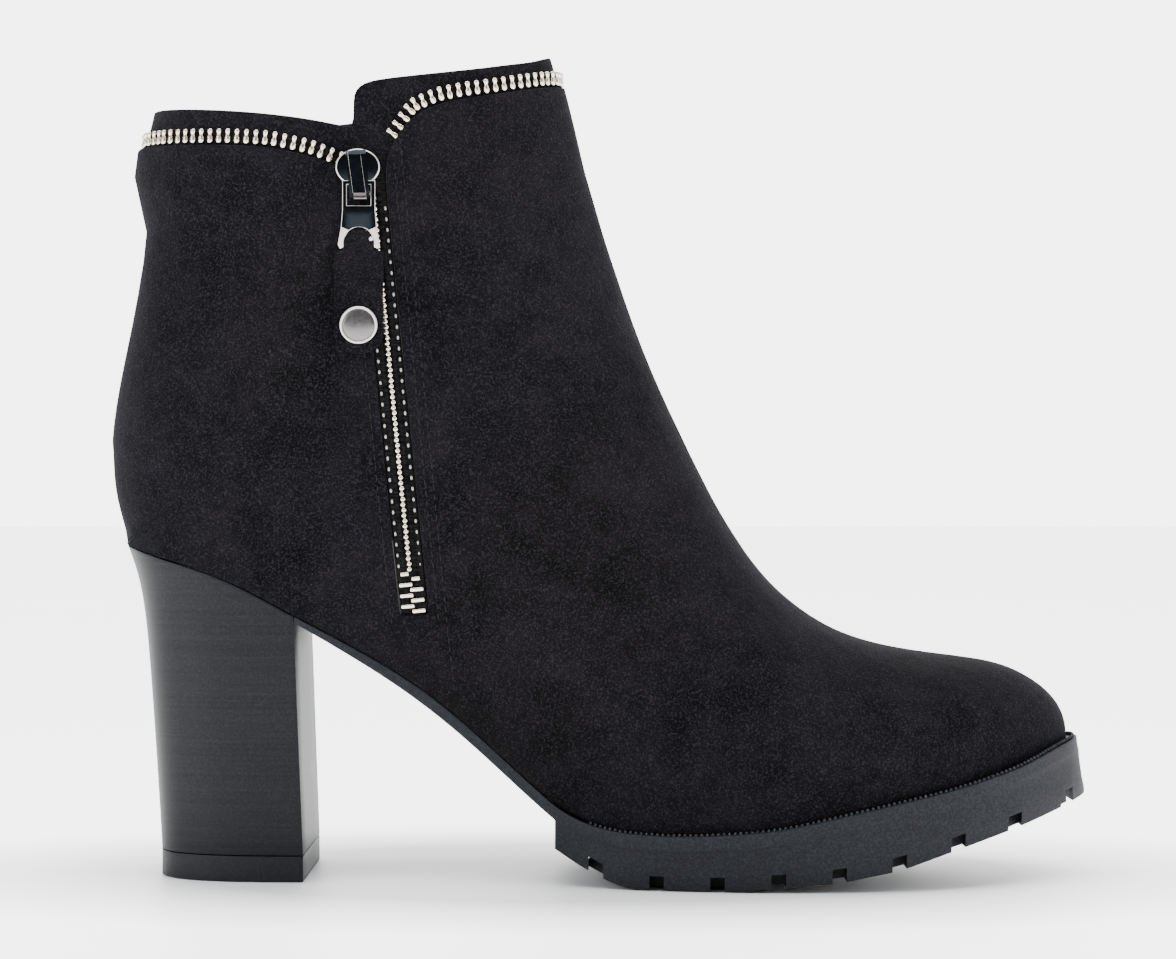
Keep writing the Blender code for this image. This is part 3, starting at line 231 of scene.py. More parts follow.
# Patch of skin over the heel that is evened out, as shares of the length and the height
SOFT_LOW = (0.0, 0.20)
SOFT_HIGH = (0.38, 0.52)
SOFT_REPEAT = 8
SHARP_TURN = 0.7            # radians

# Corners nearer than this are one, and rays start this far off
MERGE_GAP = 0.00001
FAR_OFF = 0.2

# Upward and inward turns that tell faces apart
LINING_TURN = -0.2
SOLE_TOP_RISE = 0.6
SOLE_SIDE_RISE = 0.5
TOOTH_TOP_RISE = 0.45
TOOTH_INWARD_TURN = -0.25

# Floor and surroundings. The floor glows by itself outside an oval round the boot.
FLOOR_SIZE = 12
FLOOR_DROP = 0.0002
GLOW_OVAL = (3.4, 6.0, 1.0)     # how fast the glow comes in along each axis
GLOW_STRENGTH = 3.3
WORLD_STRENGTH = 5.5

# Middle line of the leg and the foot, from the collar to the toe, in X and Z, at one Y
MIDDLE_Y = 0.001
MIDDLE_LINE = [(-.060, .230), (-.060, .125), (-.035, .085), (.000, .052), (.050, .036), (.100, .040)]


# Modelling helpers
def select_only(*pieces):
    """Deselects everything, then selects these pieces. The first is the active one."""
    bpy.ops.object.select_all(action="DESELECT")
    for piece in pieces:
        piece.select_set(True)
    bpy.context.view_layer.objects.active = pieces[0]


def apply_all(piece):
    """Applies the piece's modifiers in order."""
    select_only(piece)
    for modifier in list(piece.modifiers):
        bpy.ops.object.modifier_apply(modifier=modifier.name)


def settle(piece):
    """Applies the piece's place, turn and scale."""
    select_only(piece)
    bpy.ops.object.transform_apply(location=True, rotation=True, scale=True)


def smooth_shade(piece, degrees=35.0):
    """Smooth shading that keeps edges sharper than this angle."""
    select_only(piece)
    bpy.ops.object.shade_smooth_by_angle(angle=math.radians(degrees))


def cad_copy(node, name):
    """Copy of a CAD node with its corners merged and its triangles joined into quads."""
    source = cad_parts[node]
    piece = bpy.data.objects.new(name, source.data.copy())
    bpy.context.scene.collection.objects.link(piece)
    piece.data.materials.clear()
    select_only(piece)
    bpy.ops.object.mode_set(mode="EDIT")
    bpy.ops.mesh.customdata_custom_splitnormals_clear()
    bpy.ops.mesh.select_all(action="SELECT")
    bpy.ops.mesh.remove_doubles(threshold=MERGE_GAP)
    bpy.ops.mesh.tris_convert_to_quads(face_threshold=math.radians(50),
                                       shape_threshold=math.radians(70))
    bpy.ops.mesh.mark_sharp(clear=True)
    bpy.ops.object.mode_set(mode="OBJECT")
    return piece


def crease_corners(piece, degrees, weight):
    """Creases the edges that turn more than an angle, so that subdivision keeps them."""
    mesh = bmesh.new()
    mesh.from_mesh(piece.data)
    layer = mesh.edges.layers.float.get("crease_edge") or mesh.edges.layers.float.new("crease_edge")
    for edge in mesh.edges:
        if edge.is_manifold and edge.calc_face_angle(0) > math.radians(degrees):
            edge[layer] = weight
    mesh.to_mesh(piece.data)
    mesh.free()


def subdivide(piece, levels):
    """Subdivision surface, applied."""
    modifier = piece.modifiers.new("Smooth", "SUBSURF")
    modifier.levels = levels
    modifier.render_levels = levels
    apply_all(piece)


def bevel(piece, width, segments=2, degrees=35.0, material=-1):
    """Rounded edges, applied. They can take a material slot of their own."""
    modifier = piece.modifiers.new("Edges", "BEVEL")
    modifier.width = width
    modifier.segments = segments
    modifier.limit_method = "ANGLE"
    modifier.angle_limit = math.radians(degrees)
    modifier.material = material
    apply_all(piece)


def ray_tree(piece):
    """Tree for casting rays on a piece."""
    return BVHTree.FromPolygons([v.co[:] for v in piece.data.vertices],
                                [p.vertices[:] for p in piece.data.polygons])


def on_side(x, z, side=-1):
    """Point and normal of the upper's skin at x and z, seen from one side."""
    start = Vector((x, side * FAR_OFF, z))
    point, normal, _, _ = UPPER_TREE.ray_cast(start, Vector((0, -side, 0)))
    return point, normal


def front_face(tree, x, z):
    """Y of the first face met at x and z from the inner side, or None."""
    hit, _, _, _ = tree.ray_cast(Vector((x, -FAR_OFF, z)), Vector((0, 1, 0)))
    return hit.y if hit else None


def copies_along(model, places, name):
    """One piece made of copies of a model, each with its own mesh, at the given matrices."""
    made = []
    for place in places:
        copy = bpy.data.objects.new(name, model.data.copy())
        bpy.context.scene.collection.objects.link(copy)
        copy.matrix_world = place
        made.append(copy)
    bpy.data.objects.remove(model)
    bpy.context.view_layer.update()
    select_only(*made)
    bpy.ops.object.join()
    piece = bpy.context.object
    piece.name = name
    piece.data.name = name
    settle(piece)
    return piece


def place_on(point, along, out, lift=0.0):
    """Matrix whose X runs along, Z points out, moved out by lift."""
    out = out.normalized()
    across = out.cross(along).normalized()
    along = across.cross(out).normalized()
    turn = Matrix((along, across, out)).transposed().to_4x4()
    return Matrix.Translation(point + out * lift) @ turn


def grow_face(height, width, depth):
    """Extrudes the selected face up by height, then scales it across."""
    bpy.ops.mesh.extrude_region_move(TRANSFORM_OT_translate={"value": (0, 0, height)})
    bpy.ops.transform.resize(value=(width, depth, 1))


def select_top(piece):
    """In edit mode, selects only the faces at the top of the piece."""
    bpy.ops.mesh.select_all(action="DESELECT")
    mesh = bmesh.from_edit_mesh(piece.data)
    mesh.faces.ensure_lookup_table()
    top = max(face.calc_center_median().z for face in mesh.faces)
    for face in mesh.faces:
        face.select_set(face.calc_center_median().z > top - 1e-6)
    bmesh.update_edit_mesh(piece.data)


# Shader helpers
def start_material(name, colour, roughness, metallic=0.0):
    """Principled material, with its tree and its shader."""
    material = bpy.data.materials.new(name)
    material.use_nodes = True
    tree = material.node_tree
    shader = tree.nodes["Principled BSDF"]
    shader.inputs["Base Color"].default_value = (*colour, 1)
    shader.inputs["Roughness"].default_value = roughness
    shader.inputs["Metallic"].default_value = metallic
    return material, tree, shader


def add_node(tree, kind, **values):
    """Node with its sockets set by name."""
    made = tree.nodes.new(kind)
    for key, value in values.items():
        made.inputs[key.replace("_", " ")].default_value = value
    return made


def noise(tree, scale, detail=3.0, roughness=0.5, stretch=(1, 1, 1)):
    """Noise on the object's own coordinates. Returns its value socket."""
    coords = tree.nodes.new("ShaderNodeTexCoord")
    mapping = add_node(tree, "ShaderNodeMapping", Scale=stretch)
    made = add_node(tree, "ShaderNodeTexNoise", Scale=scale, Detail=detail, Roughness=roughness)
    tree.links.new(coords.outputs["Object"], mapping.inputs["Vector"])
    tree.links.new(mapping.outputs["Vector"], made.inputs["Vector"])
    return made.outputs["Fac"]


def ramp(tree, value, low, high, first, last):
    """Colours between two stops of a value."""
    made = tree.nodes.new("ShaderNodeValToRGB")
    made.color_ramp.elements[0].position = low
    made.color_ramp.elements[1].position = high
    made.color_ramp.elements[0].color = (*first, 1)
    made.color_ramp.elements[1].color = (*last, 1)
    tree.links.new(value, made.inputs["Fac"])
    return made.outputs["Color"]


def blend(tree, share, first, second, mode="MIX"):
    """Mixes two colour sockets. The share is a number or a socket."""
    made = tree.nodes.new("ShaderNodeMix")
    made.data_type = "RGBA"
    made.blend_type = mode
    if isinstance(share, (int, float)):
        made.inputs["Factor"].default_value = share
    else:
        tree.links.new(share, made.inputs["Factor"])
    tree.links.new(first, made.inputs["A"])
    tree.links.new(second, made.inputs["B"])
    return made.outputs["Result"]


def bump(tree, shader, layers):
    """Chains bump layers, each with a height socket, a strength and a depth in metres."""
    before = None
    for height, strength, depth in layers:
        made = add_node(tree, "ShaderNodeBump", Strength=strength, Distance=depth)
        tree.links.new(height, made.inputs["Height"])
        if before is not None:
            tree.links.new(before, made.inputs["Normal"])
        before = made.outputs["Normal"]
    tree.links.new(before, shader.inputs["Normal"])


def suede_material():
    """Near-black suede with a soft mottled nap."""
    material, tree, shader = start_material("black suede", (0.012, 0.011, 0.012), 0.95)
    clouds = ramp(tree, noise(tree, 34, 5, 0.65), 0.40, 0.62, (.0004, .0004, .0006), (.0130, .0112, .0132))
    tint = ramp(tree, noise(tree, 15, 2, 0.5), 0.40, 0.66, (.0050, .0034, .0042), (.0026, .0032, .0090))
    strokes = ramp(tree, noise(tree, 120, 4, 0.7), 0.42, 0.64, (.0004, .0004, .0005), (.0110, .0098, .0112))
    coat = blend(tree, 0.4, blend(tree, 0.35, clouds, tint), strokes)
    nap = ramp(tree, noise(tree, 2000, 2, 0.85), 0.50, 0.66, (.0002, .0002, .0003), (.038, .034, .041))
    colour = blend(tree, 0.42, coat, nap)
    tree.links.new(colour, shader.inputs["Base Color"])
    shader.inputs["Specular IOR Level"].default_value = 0.06
    shader.inputs["Sheen Weight"].default_value = 0.025
    shader.inputs["Sheen Roughness"].default_value = 0.5
    shader.inputs["Sheen Tint"].default_value = (0.75, 0.78, 0.90, 1)
    bump(tree, shader, [(noise(tree, 110, 4, 0.6), 0.6, 0.0012),
                        (noise(tree, 2000, 3, 0.8), 1.0, 0.00024)])
    return material


def lining_material():
    """Black woven lining."""
    material, tree, shader = start_material("black lining", (0.02, 0.02, 0.022), 0.85)
    shade = ramp(tree, noise(tree, 60, 3), 0.3, 0.7, (.012, .012, .013), (.026, .026, .028))
    tree.links.new(shade, shader.inputs["Base Color"])
    shader.inputs["Sheen Weight"].default_value = 0.15
    bump(tree, shader, [(noise(tree, 1500, 2, 0.5, (1, 1, 0.25)), 0.5, 0.0002),
                        (noise(tree, 1500, 2, 0.5, (0.25, 0.25, 1)), 0.5, 0.0002)])
    return material


def rubber_material(name, dark, light, roughness):
    """Moulded rubber or plastic with a fine dull grain."""
    material, tree, shader = start_material(name, light, roughness)
    pale = tuple(2.6 * value for value in light)
    grain = ramp(tree, noise(tree, 1700, 3, 0.8), 0.44, 0.64, dark, pale)
    clouds = ramp(tree, noise(tree, 45, 3, 0.6), 0.3, 0.75, dark, light)
    tree.links.new(blend(tree, 0.5, grain, clouds), shader.inputs["Base Color"])
    shader.inputs["Specular IOR Level"].default_value = 0.22
    bump(tree, shader, [(noise(tree, 1700, 3, 0.8), 0.8, 0.00018)])
    return material


def heel_material():
    """Stacked heel: level layers in slate tones under a satin finish."""
    material, tree, shader = start_material("stacked heel", (0.007, 0.008, 0.010), 0.5)
    fine = noise(tree, 1.0, 3, 0.6, (22, 22, 1500))
    broad = noise(tree, 1.0, 2, 0.5, (9, 9, 420))
    layers = ramp(tree, broad, 0.35, 0.65, (.0022, .0026, .0036), (.0056, .0064, .0084))
    lines = ramp(tree, fine, 0.36, 0.62, (.0010, .0012, .0018), (.0090, .0102, .0130))
    grain = ramp(tree, noise(tree, 1700, 3, 0.8), 0.46, 0.66, (.0010, .0012, .0016), (.0170, .0185, .0230))
    tree.links.new(blend(tree, 0.4, blend(tree, 0.5, layers, lines), grain), shader.inputs["Base Color"])
    shader.inputs["Specular IOR Level"].default_value = 0.15
    shader.inputs["Coat Weight"].default_value = 0.04
    shader.inputs["Coat Roughness"].default_value = 0.2
    bump(tree, shader, [(fine, 0.5, 0.00012), (noise(tree, 900, 2), 0.15, 0.0001)])
    return material


def metal_material(name, colour, roughness, wear=0.12):
    """Cast or plated metal with small changes of polish."""
    material, tree, shader = start_material(name, colour, roughness, 1.0)
    smoother = (roughness - wear / 2,) * 3
    duller = (roughness + wear,) * 3
    soft = ramp(tree, noise(tree, 700, 3, 0.6), 0.3, 0.7, smoother, duller)
    tree.links.new(soft, shader.inputs["Roughness"])
    bump(tree, shader, [(noise(tree, 1200, 2), 0.12, 0.00008)])
    return material


def tape_material():
    """Woven zip tape."""
    material, tree, shader = start_material("zip tape", (0.012, 0.012, 0.013), 0.9)
    across = noise(tree, 1.0, 1, 0.5, (500, 500, 2600))
    weave = ramp(tree, across, 0.35, 0.65, (.0020, .0019, .0021), (.0110, .0102, .0108))
    tree.links.new(weave, shader.inputs["Base Color"])
    shader.inputs["Specular IOR Level"].default_value = 0.05
    bump(tree, shader, [(across, 0.7, 0.0002)])
    return material


def thread_material(name, dark, light, roughness=0.55):
    """Twisted sewing thread."""
    material, tree, shader = start_material(name, light, roughness)
    twist = noise(tree, 5200, 1, 0.5)
    tree.links.new(ramp(tree, twist, 0.3, 0.7, dark, light), shader.inputs["Base Color"])
    shader.inputs["Specular IOR Level"].default_value = 0.2
    bump(tree, shader, [(twist, 0.5, 0.00008)])
    return material


suede = suede_material()
lining = lining_material()
sole_rubber = rubber_material("slate rubber", (.0028, .0034, .0046), (.0100, .0115, .0150), 0.6)
rand_rubber = rubber_material("rand rubber", (.006, .007, .009), (.030, .033, .038), 0.55)
tip_rubber = rubber_material("top piece", (.0014, .0017, .0023), (.0052, .0060, .0078), 0.5)
heel_stack = heel_material()
teeth_metal = metal_material("pale gold", (.84, .75, .60), 0.17)
gunmetal = metal_material("smoked metal", (.012, .015, .018), 0.16, 0.08)
# Bright metal for rounded edges, fork legs, rims and the glint bead: painted highlight
edge_highlight_metal = metal_material("edge highlight metal", (.80, .76, .72), 0.42, 0.06)
nickel = metal_material("satin nickel", (.17, .16, .155), 0.26, 0.08)
tape = tape_material()
black_thread = thread_material("black thread", (.002, .002, .0025), (.016, .016, .017), 0.8)
# Colour of the zip's stitch dots: pale from a painted glint off the thread
glinting_thread = thread_material("glinting thread", (.25, .25, .24), (.62, .62, .58), 0.4)


def paint(piece, material, body="boot"):
    """Gives a piece its material and the body that it rides on."""
    piece.data.materials.clear()
    piece.data.materials.append(material)
    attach(piece, body)


def build_row(model, places, name, material, degrees=60):
    """Piece made of copies of a model, shaded smooth and painted."""
    piece = copies_along(model, places, name)
    smooth_shade(piece, degrees)
    paint(piece, material)
    return piece


# Upper
def away_from_middle(points):
    """Unit ways from the middle line of the leg and the foot out to the points."""
    line = np.array([(x, MIDDLE_Y, z) for x, z in MIDDLE_LINE])
    best = np.full(len(points), 1e9)
    ways = np.zeros_like(points)
    for a, b in zip(line[:-1], line[1:]):
        run = b - a
        t = np.clip((points - a) @ run / (run @ run), 0, 1)
        gap = points - (a + t[:, None] * run)
        size = np.linalg.norm(gap, axis=1)
        nearer = size < best
        best[nearer] = size[nearer]
        ways[nearer] = gap[nearer]
    return ways / np.linalg.norm(ways, axis=1, keepdims=True)


def fold_depth(points, side, line, depth, width):
    """How deep a fold presses in at the points."""
    flat = points[:, [0, 2]]
    spots = np.array([(LOW.x + a * LENGTH, LOW.z + b * HEIGHT) for a, b in line])
    near = np.full(len(points), 1e9)
    place = np.zeros(len(points))
    for k, (a, b) in enumerate(zip(spots[:-1], spots[1:])):
        run = b - a
        t = np.clip((flat - a) @ run / (run @ run), 0, 1)
        gap = np.linalg.norm(flat - (a + t[:, None] * run), axis=1)
        nearer = gap < near
        near[nearer] = gap[nearer]
        place[nearer] = (k + t[nearer]) / (len(spots) - 1)
    fade = np.sin(np.clip(place, 0.04, 0.96) * math.pi) ** 0.6
    here = 1 / (1 + np.exp(-side * points[:, 1] / FOLD_SIDE_FADE))
    return depth * np.exp(-(near / width) ** 2) * fade * here


def soften(piece, low, high, repeat):
    """Evens out the skin between two corners given as shares of the length and the height."""
    select_only(piece)
    bpy.ops.object.mode_set(mode="EDIT")
    bpy.ops.mesh.select_all(action="DESELECT")
    mesh = bmesh.from_edit_mesh(piece.data)
    mesh.select_mode = {"VERT"}
    for vert in mesh.verts:
        long = (vert.co.x - LOW.x) / LENGTH
        tall = (vert.co.z - LOW.z) / HEIGHT
        sharp = any(edge.calc_face_angle(0) > SHARP_TURN for edge in vert.link_edges)
        vert.select_set(low[0] < long < high[0] and low[1] < tall < high[1] and not sharp)
    bmesh.update_edit_mesh(piece.data)
    bpy.ops.mesh.vertices_smooth(factor=0.5, repeat=repeat)
    bpy.ops.object.mode_set(mode="OBJECT")


def press_folds(points):
    """Presses the folds into the skin."""
    press = np.zeros(len(points))
    for _, side, line, depth, width in FOLDS:
        press += fold_depth(points, side, line, depth, width)
    points -= away_from_middle(points) * press[:, None]


def reach_corner_back(points):
    """Moves the corner of the front facing back over the notch, on the inner side."""
    gap = np.hypot(points[:, 0] - FACING_CORNER[0], points[:, 2] - FACING_CORNER[1])
    push = FACING_PUSH * np.exp(-(gap / FACING_SPREAD) ** 2)
    points[:, 0] -= push / (1 + np.exp(points[:, 1] / SIDE_FADE))


def lower_far_collar(points):
    """Lowers the outer side of the collar across from the zip."""
    outer = 1 / (1 + np.exp(-points[:, 1] / SIDE_FADE))
    high = np.clip((points[:, 2] - FAR_COLLAR_START) / FAR_COLLAR_RISE, 0, 1)
    along = np.exp(-((points[:, 0] - FAR_COLLAR_MIDDLE) / FAR_COLLAR_SPREAD) ** 2)
    points[:, 2] -= FAR_COLLAR_DROP * outer * high * along


def line_inside(piece):
    """Suede on the faces that look away from the foot, lining on those that look at it."""
    piece.data.materials.append(suede)
    piece.data.materials.append(lining)
    centres = np.array([face.center[:] for face in piece.data.polygons])
    normals = np.array([face.normal[:] for face in piece.data.polygons])
    inward = np.sum(away_from_middle(centres) * normals, axis=1) < LINING_TURN
    for face, inside in zip(piece.data.polygons, inward):
        face.material_index = int(inside)


def build_upper():
    """Smooth skin over the CAD upper, with its folds, its lining inside and a soft edge."""
    piece = cad_copy("upper", "upper_skin")
    crease_corners(piece, 50, 0.72)
    subdivide(piece, 2)
    soften(piece, SOFT_LOW, SOFT_HIGH, SOFT_REPEAT)
    points = np.empty(len(piece.data.vertices) * 3)
    piece.data.vertices.foreach_get("co", points)
    points = points.reshape(-1, 3)
    press_folds(points)
    reach_corner_back(points)
    lower_far_collar(points)
    piece.data.vertices.foreach_set("co", points.ravel())
    piece.data.update()
    line_inside(piece)
    smooth_shade(piece, 50)
    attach(piece, "boot")
    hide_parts("upper")
    return piece


upper = build_upper()
UPPER_TREE = ray_tree(upper)


# Sole, insole and heel
def toe_lean(spot):
    """How far the sole's front end leans back at a spot, more towards its top edge."""
    ahead = min(max((spot.x - TOE_START) / TOE_RUN, 0), 1)
    up = min(max((spot.z - TOE_BOTTOM) / TOE_RISE, 0), 1)
    return TOE_LEAN * ahead * ahead * (3 - 2 * ahead) * up


def build_sole_parts():
    """Outsole, insole, heel and top piece with smooth outlines and rounded edges."""
    looks = (
        ("outsole", "sole_unit", sole_rubber, "sole_rubber", 0.00045),
        ("insole", "sock_lining", lining, "lining", 0.0004),
        ("heel", "stacked_heel", heel_stack, "heel_stack", 0.0002),
        ("heel_tip", "top_piece", tip_rubber, "tip_rubber", 0.0002),
    )
    for node, name, material, slot, edge in looks:
        piece = cad_copy(node, name)
        crease_corners(piece, 32, 1.0)
        subdivide(piece, 2)
        bevel(piece, edge, 2, 32)
        if node == "outsole":
            for vert in piece.data.vertices:
                vert.co.x -= toe_lean(vert.co)
        smooth_shade(piece, 40)
        paint(piece, material)
        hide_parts(node)


build_sole_parts()


def sole_edge():
    """Outline of the sole's top, in order, from the edges between its top and its side."""
    mesh = bmesh.new()
    mesh.from_mesh(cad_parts["outsole"].data)
    bmesh.ops.remove_doubles(mesh, verts=mesh.verts, dist=MERGE_GAP)
    links = {}
    for edge in mesh.edges:
        rises = [face.normal.z for face in edge.link_faces]
        if len(rises) == 2 and max(rises) > SOLE_TOP_RISE and abs(min(rises)) < SOLE_SIDE_RISE:
            for vert in edge.verts:
                links.setdefault(vert, []).append(edge.other_vert(vert))
    start = max(links, key=lambda vert: vert.co.x)
    loop = [start]
    before = None
    while True:
        onward = [vert for vert in links[loop[-1]] if vert is not before]
        if not onward or onward[0] is start:
            break
        before = loop[-1]
        loop.append(onward[0])
    points = [vert.co.copy() for vert in loop]
    mesh.free()
    return points


def spread(points, pitch):
    """Places at an even pitch along a line, each with the line's direction there."""
    line = np.array([point[:] for point in points])
    arc = np.concatenate([[0], np.cumsum(np.linalg.norm(np.diff(line, axis=0), axis=1))])
    count = max(int(arc[-1] / pitch), 1)
    at = (np.arange(count) + 0.5) * arc[-1] / count
    spots = np.stack([np.interp(at, arc, line[:, k]) for k in range(3)], 1)
    ahead = np.stack([np.interp(at + 0.001, arc, line[:, k]) for k in range(3)], 1)
    behind = np.stack([np.interp(at - 0.001, arc, line[:, k]) for k in range(3)], 1)
    return [(Vector(spot), Vector(way).normalized()) for spot, way in zip(spots, ahead - behind)]


def build_rand():
    """Row of small ribs that stands on the sole's edge, round the forefoot."""
    loop = sole_edge()
    places = []
    for spot, way in spread(loop + loop[:1], RAND_PITCH):
        if spot.x < RAND_START:
            continue
        out = way.cross(Vector((0, 0, 1))).normalized()
        if out.dot(spot - FOREFOOT_MIDDLE) < 0:
            out = -out
        foot = spot - out * RAND_INSET - Vector((toe_lean(spot), 0, 0))
        places.append(place_on(foot, way, Vector((0, 0, 1)), RAND_LIFT))
    bpy.ops.mesh.primitive_cube_add(size=1, location=(0, 0, 0))
    rib = bpy.context.object
    rib.scale = RIB_SIZE
    settle(rib)
    subdivide(rib, 1)
    build_row(rib, places, "sole_rand", rand_rubber)


build_rand()


def lower_outline(piece):
    """Lower outline of a piece in the side view, as X and Z of its convex corners."""
    line = []
    for spot in sorted((vert.co.x, vert.co.z) for vert in piece.data.vertices):
        while len(line) > 1:
            a, b = line[-2], line[-1]
            if (b[0] - a[0]) * (spot[1] - a[1]) > (b[1] - a[1]) * (spot[0] - a[0]):
                break
            line.pop()
        line.append(spot)
    return np.array(line)


def wall_spot(corner, side, tree, below):
    """Where a corner of the unit block lies on the wall, between the ground and the sole."""
    share = WALL_START + (WALL_END - WALL_START) * (corner.x + 0.5)
    x = LOW.x + share * LENGTH
    felt = EDGE_HEIGHT + SPRING_RISE * max(share - SPRING_START, 0) / (1 - SPRING_START)
    hit, _, _, _ = tree.ray_cast(Vector((x, side * FAR_OFF, felt)), Vector((0, -side, 0)))
    inset = WALL_INSET * (1 - WALL_TURN_GAIN * max(share - WALL_TURN, 0) / WALL_TURN_RUN)
    y = (hit.y if hit else 0.0) - side * inset + corner.y * WALL_WIDTH
    roof, _, _, _ = tree.ray_cast(Vector((x, y, -FAR_OFF)), Vector((0, 0, 1)))
    top = (roof.z if roof else WALL_ROOF) + WALL_SINK
    ground = np.interp(x, below[:, 0], below[:, 1])
    return x, y, ground + WALL_LIFT + (top - ground) * (corner.z + 0.5)


def build_groove_walls():
    """Dark walls inside the tread's edge, one to a side. They make the cross grooves blind, painted shade
    in place of the shadow under the sole.
    """
    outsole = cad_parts["outsole"]
    tree = ray_tree(outsole)
    below = lower_outline(outsole)
    walls = []
    for side in (-1, 1):
        bpy.ops.mesh.primitive_cube_add(size=1)
        wall = bpy.context.object
        bpy.ops.object.mode_set(mode="EDIT")
        bpy.ops.mesh.select_all(action="SELECT")
        bpy.ops.mesh.subdivide(number_cuts=WALL_CUTS)
        bpy.ops.object.mode_set(mode="OBJECT")
        # The wall follows the sole all along, so its corners are placed one by one
        for vert in wall.data.vertices:
            vert.co = wall_spot(vert.co, side, tree, below)
        walls.append(wall)
    select_only(*walls)
    bpy.ops.object.join()
    piece = bpy.context.object
    piece.name = "groove_shade_walls"
    # The darkest rubber, so that the grooves read as shaded: painted shade
    paint(piece, tip_rubber)


build_groove_walls()


# Zip
def zip_spot(drop, across):
    """Place and outward normal on the zip, as if the slot beside it were filled."""
    centre = ZIP_TOP + ZIP_ALONG * drop
    ends = []
    for side in (-1, 1):
        spot = centre + ZIP_ACROSS * side * ZIP_REACH
        ends.append(on_side(spot.x, spot.y))
    share = 0.5 + 0.5 * across / ZIP_REACH
    point = ends[0][0].lerp(ends[1][0], share)
    normal = ends[0][1].lerp(ends[1][1], share).normalized()
    return point, normal


def zip_place(drop, across, lift):
    """Matrix on the zip at a drop from its top. X runs down the zip and Z points out."""
    point, normal = zip_spot(drop, across)
    return place_on(point, Vector((ZIP_ALONG.x, 0, ZIP_ALONG.y)), normal, lift)


def bead_model(size, rings=6, segments=8):
    """Small rounded bead, longer one way, made from a sphere."""
    bpy.ops.mesh.primitive_uv_sphere_add(segments=segments, ring_count=rings, radius=1)
    bead = bpy.context.object
    bead.scale = size
    settle(bead)
    return bead


def build_heads():
    """Closed teeth: a row of bead-like heads, a little to either side in turn."""
    places = []
    for k, drop in enumerate(np.arange(CHAIN_START, CHAIN_END - STOP_LENGTH, CHAIN_PITCH)):
        side = 1 if k % 2 else -1
        places.append(zip_place(drop, BEAD_STAGGER * side, BEAD_LIFT))
    piece = build_row(bead_model(BEAD_SIZE), places, "zip_heads", teeth_metal)
    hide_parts("zip_chain")


def build_stop_teeth():
    """Long stop teeth at the zip's lower end, from both sides in turn."""
    places = []
    for k in range(STOP_COUNT):
        side = 1 if k % 2 else -1
        width = SHORT_SHARE if k < SHORT_STOPS else 1.0
        drop = CHAIN_END - STOP_LENGTH + k * STOP_PITCH
        place = zip_place(drop, side * STOP_OFFSET, STOP_LIFT)
        places.append(place @ Matrix.Diagonal((1.0, width, 1.0, 1.0)))
    bpy.ops.mesh.primitive_cube_add(size=1)
    bar = bpy.context.object
    bar.scale = STOP_SIZE
    settle(bar)
    bevel(bar, STOP_EDGE, 3)
    piece = build_row(bar, places, "zip_stop_teeth", teeth_metal, 40)
    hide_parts("zip_chain")


def build_beside(drops, offset, lift, size, name, material):
    """Two rows of small beads, one down each side of the closed teeth."""
    places = [zip_place(drop, side * offset, lift) for side in (-1, 1) for drop in drops]
    build_row(bead_model(size), places, name, material)


def build_zip():
    """Closed teeth, stop teeth, dark beads of painted shade over the teeth's legs, and the stitches that
    hold the tape, pale with a painted glint.
    """
    build_heads()
    build_stop_teeth()
    # Dark tape-coloured beads where the teeth's metal legs lie in shadow: painted shade
    leg_shade_drops = np.arange(CHAIN_START, CHAIN_END, LEG_SHADE_PITCH)
    build_beside(leg_shade_drops, LEG_SHADE_OFFSET, LEG_SHADE_LIFT, LEG_SHADE_SIZE, "zip_leg_shade", tape)
    # Stitch dots, painted pale as a glint off the thread
    dots = np.arange(DOT_START, CHAIN_END - STOP_LENGTH, DOT_PITCH)
    build_beside(dots, DOT_OFFSET, DOT_LIFT, DOT_SIZE, "zip_stitches", glinting_thread)
    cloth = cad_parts["zip_tape"].data.materials
    cloth.clear()
    cloth.append(tape)


build_zip()


# Open teeth round the collar
def tooth_model():
    """Open zip tooth: a broad foot, a narrow neck and a round head."""
    bpy.ops.mesh.primitive_cube_add(size=1, location=(0, 0, TOOTH_FOOT[2] / 2))
    tooth = bpy.context.object
    tooth.scale = TOOTH_FOOT
    settle(tooth)
    bpy.ops.object.mode_set(mode="EDIT")
    select_top(tooth)
    for height, width, depth in TOOTH_STEPS:
        grow_face(height, width, depth)
    bpy.ops.object.mode_set(mode="OBJECT")
    subdivide(tooth, 2)
    return tooth


def tooth_tops(node):
    """Tops of the CAD strip's teeth: its level faces with no inward corner, in any order."""
    mesh = bmesh.new()
    mesh.from_mesh(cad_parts[node].data)
    bmesh.ops.remove_doubles(mesh, verts=mesh.verts, dist=MERGE_GAP)
    tops = set()
    for face in mesh.faces:
        turns = [edge.calc_face_angle_signed(0) for edge in face.edges if edge.is_manifold]
        if face.normal.z > TOOTH_TOP_RISE and min(turns) > TOOTH_INWARD_TURN:
            tops.add(face)
    spots = []
    while tops:
        face = tops.pop()
        group = [face]
        for edge in face.edges:
            for other in edge.link_faces:
                if other in tops:
                    tops.discard(other)
                    group.append(other)
        corners = {vert for item in group for vert in item.verts}
        if len(corners) == 4:
            spots.append(sum((vert.co for vert in corners), Vector()) / len(corners))
    mesh.free()
    return spots


def in_order(spots):
    """Spots sorted into a row, each next to its nearest neighbour."""
    middle = sum(spots, Vector()) / len(spots)
    start = max(spots, key=lambda spot: (spot - middle).length)
    row = [start]
    left = [spot for spot in spots if spot is not start]
    while left:
        nearest = min(left, key=lambda spot: (spot - row[-1]).length)
        left.remove(nearest)
        row.append(nearest)
    return row


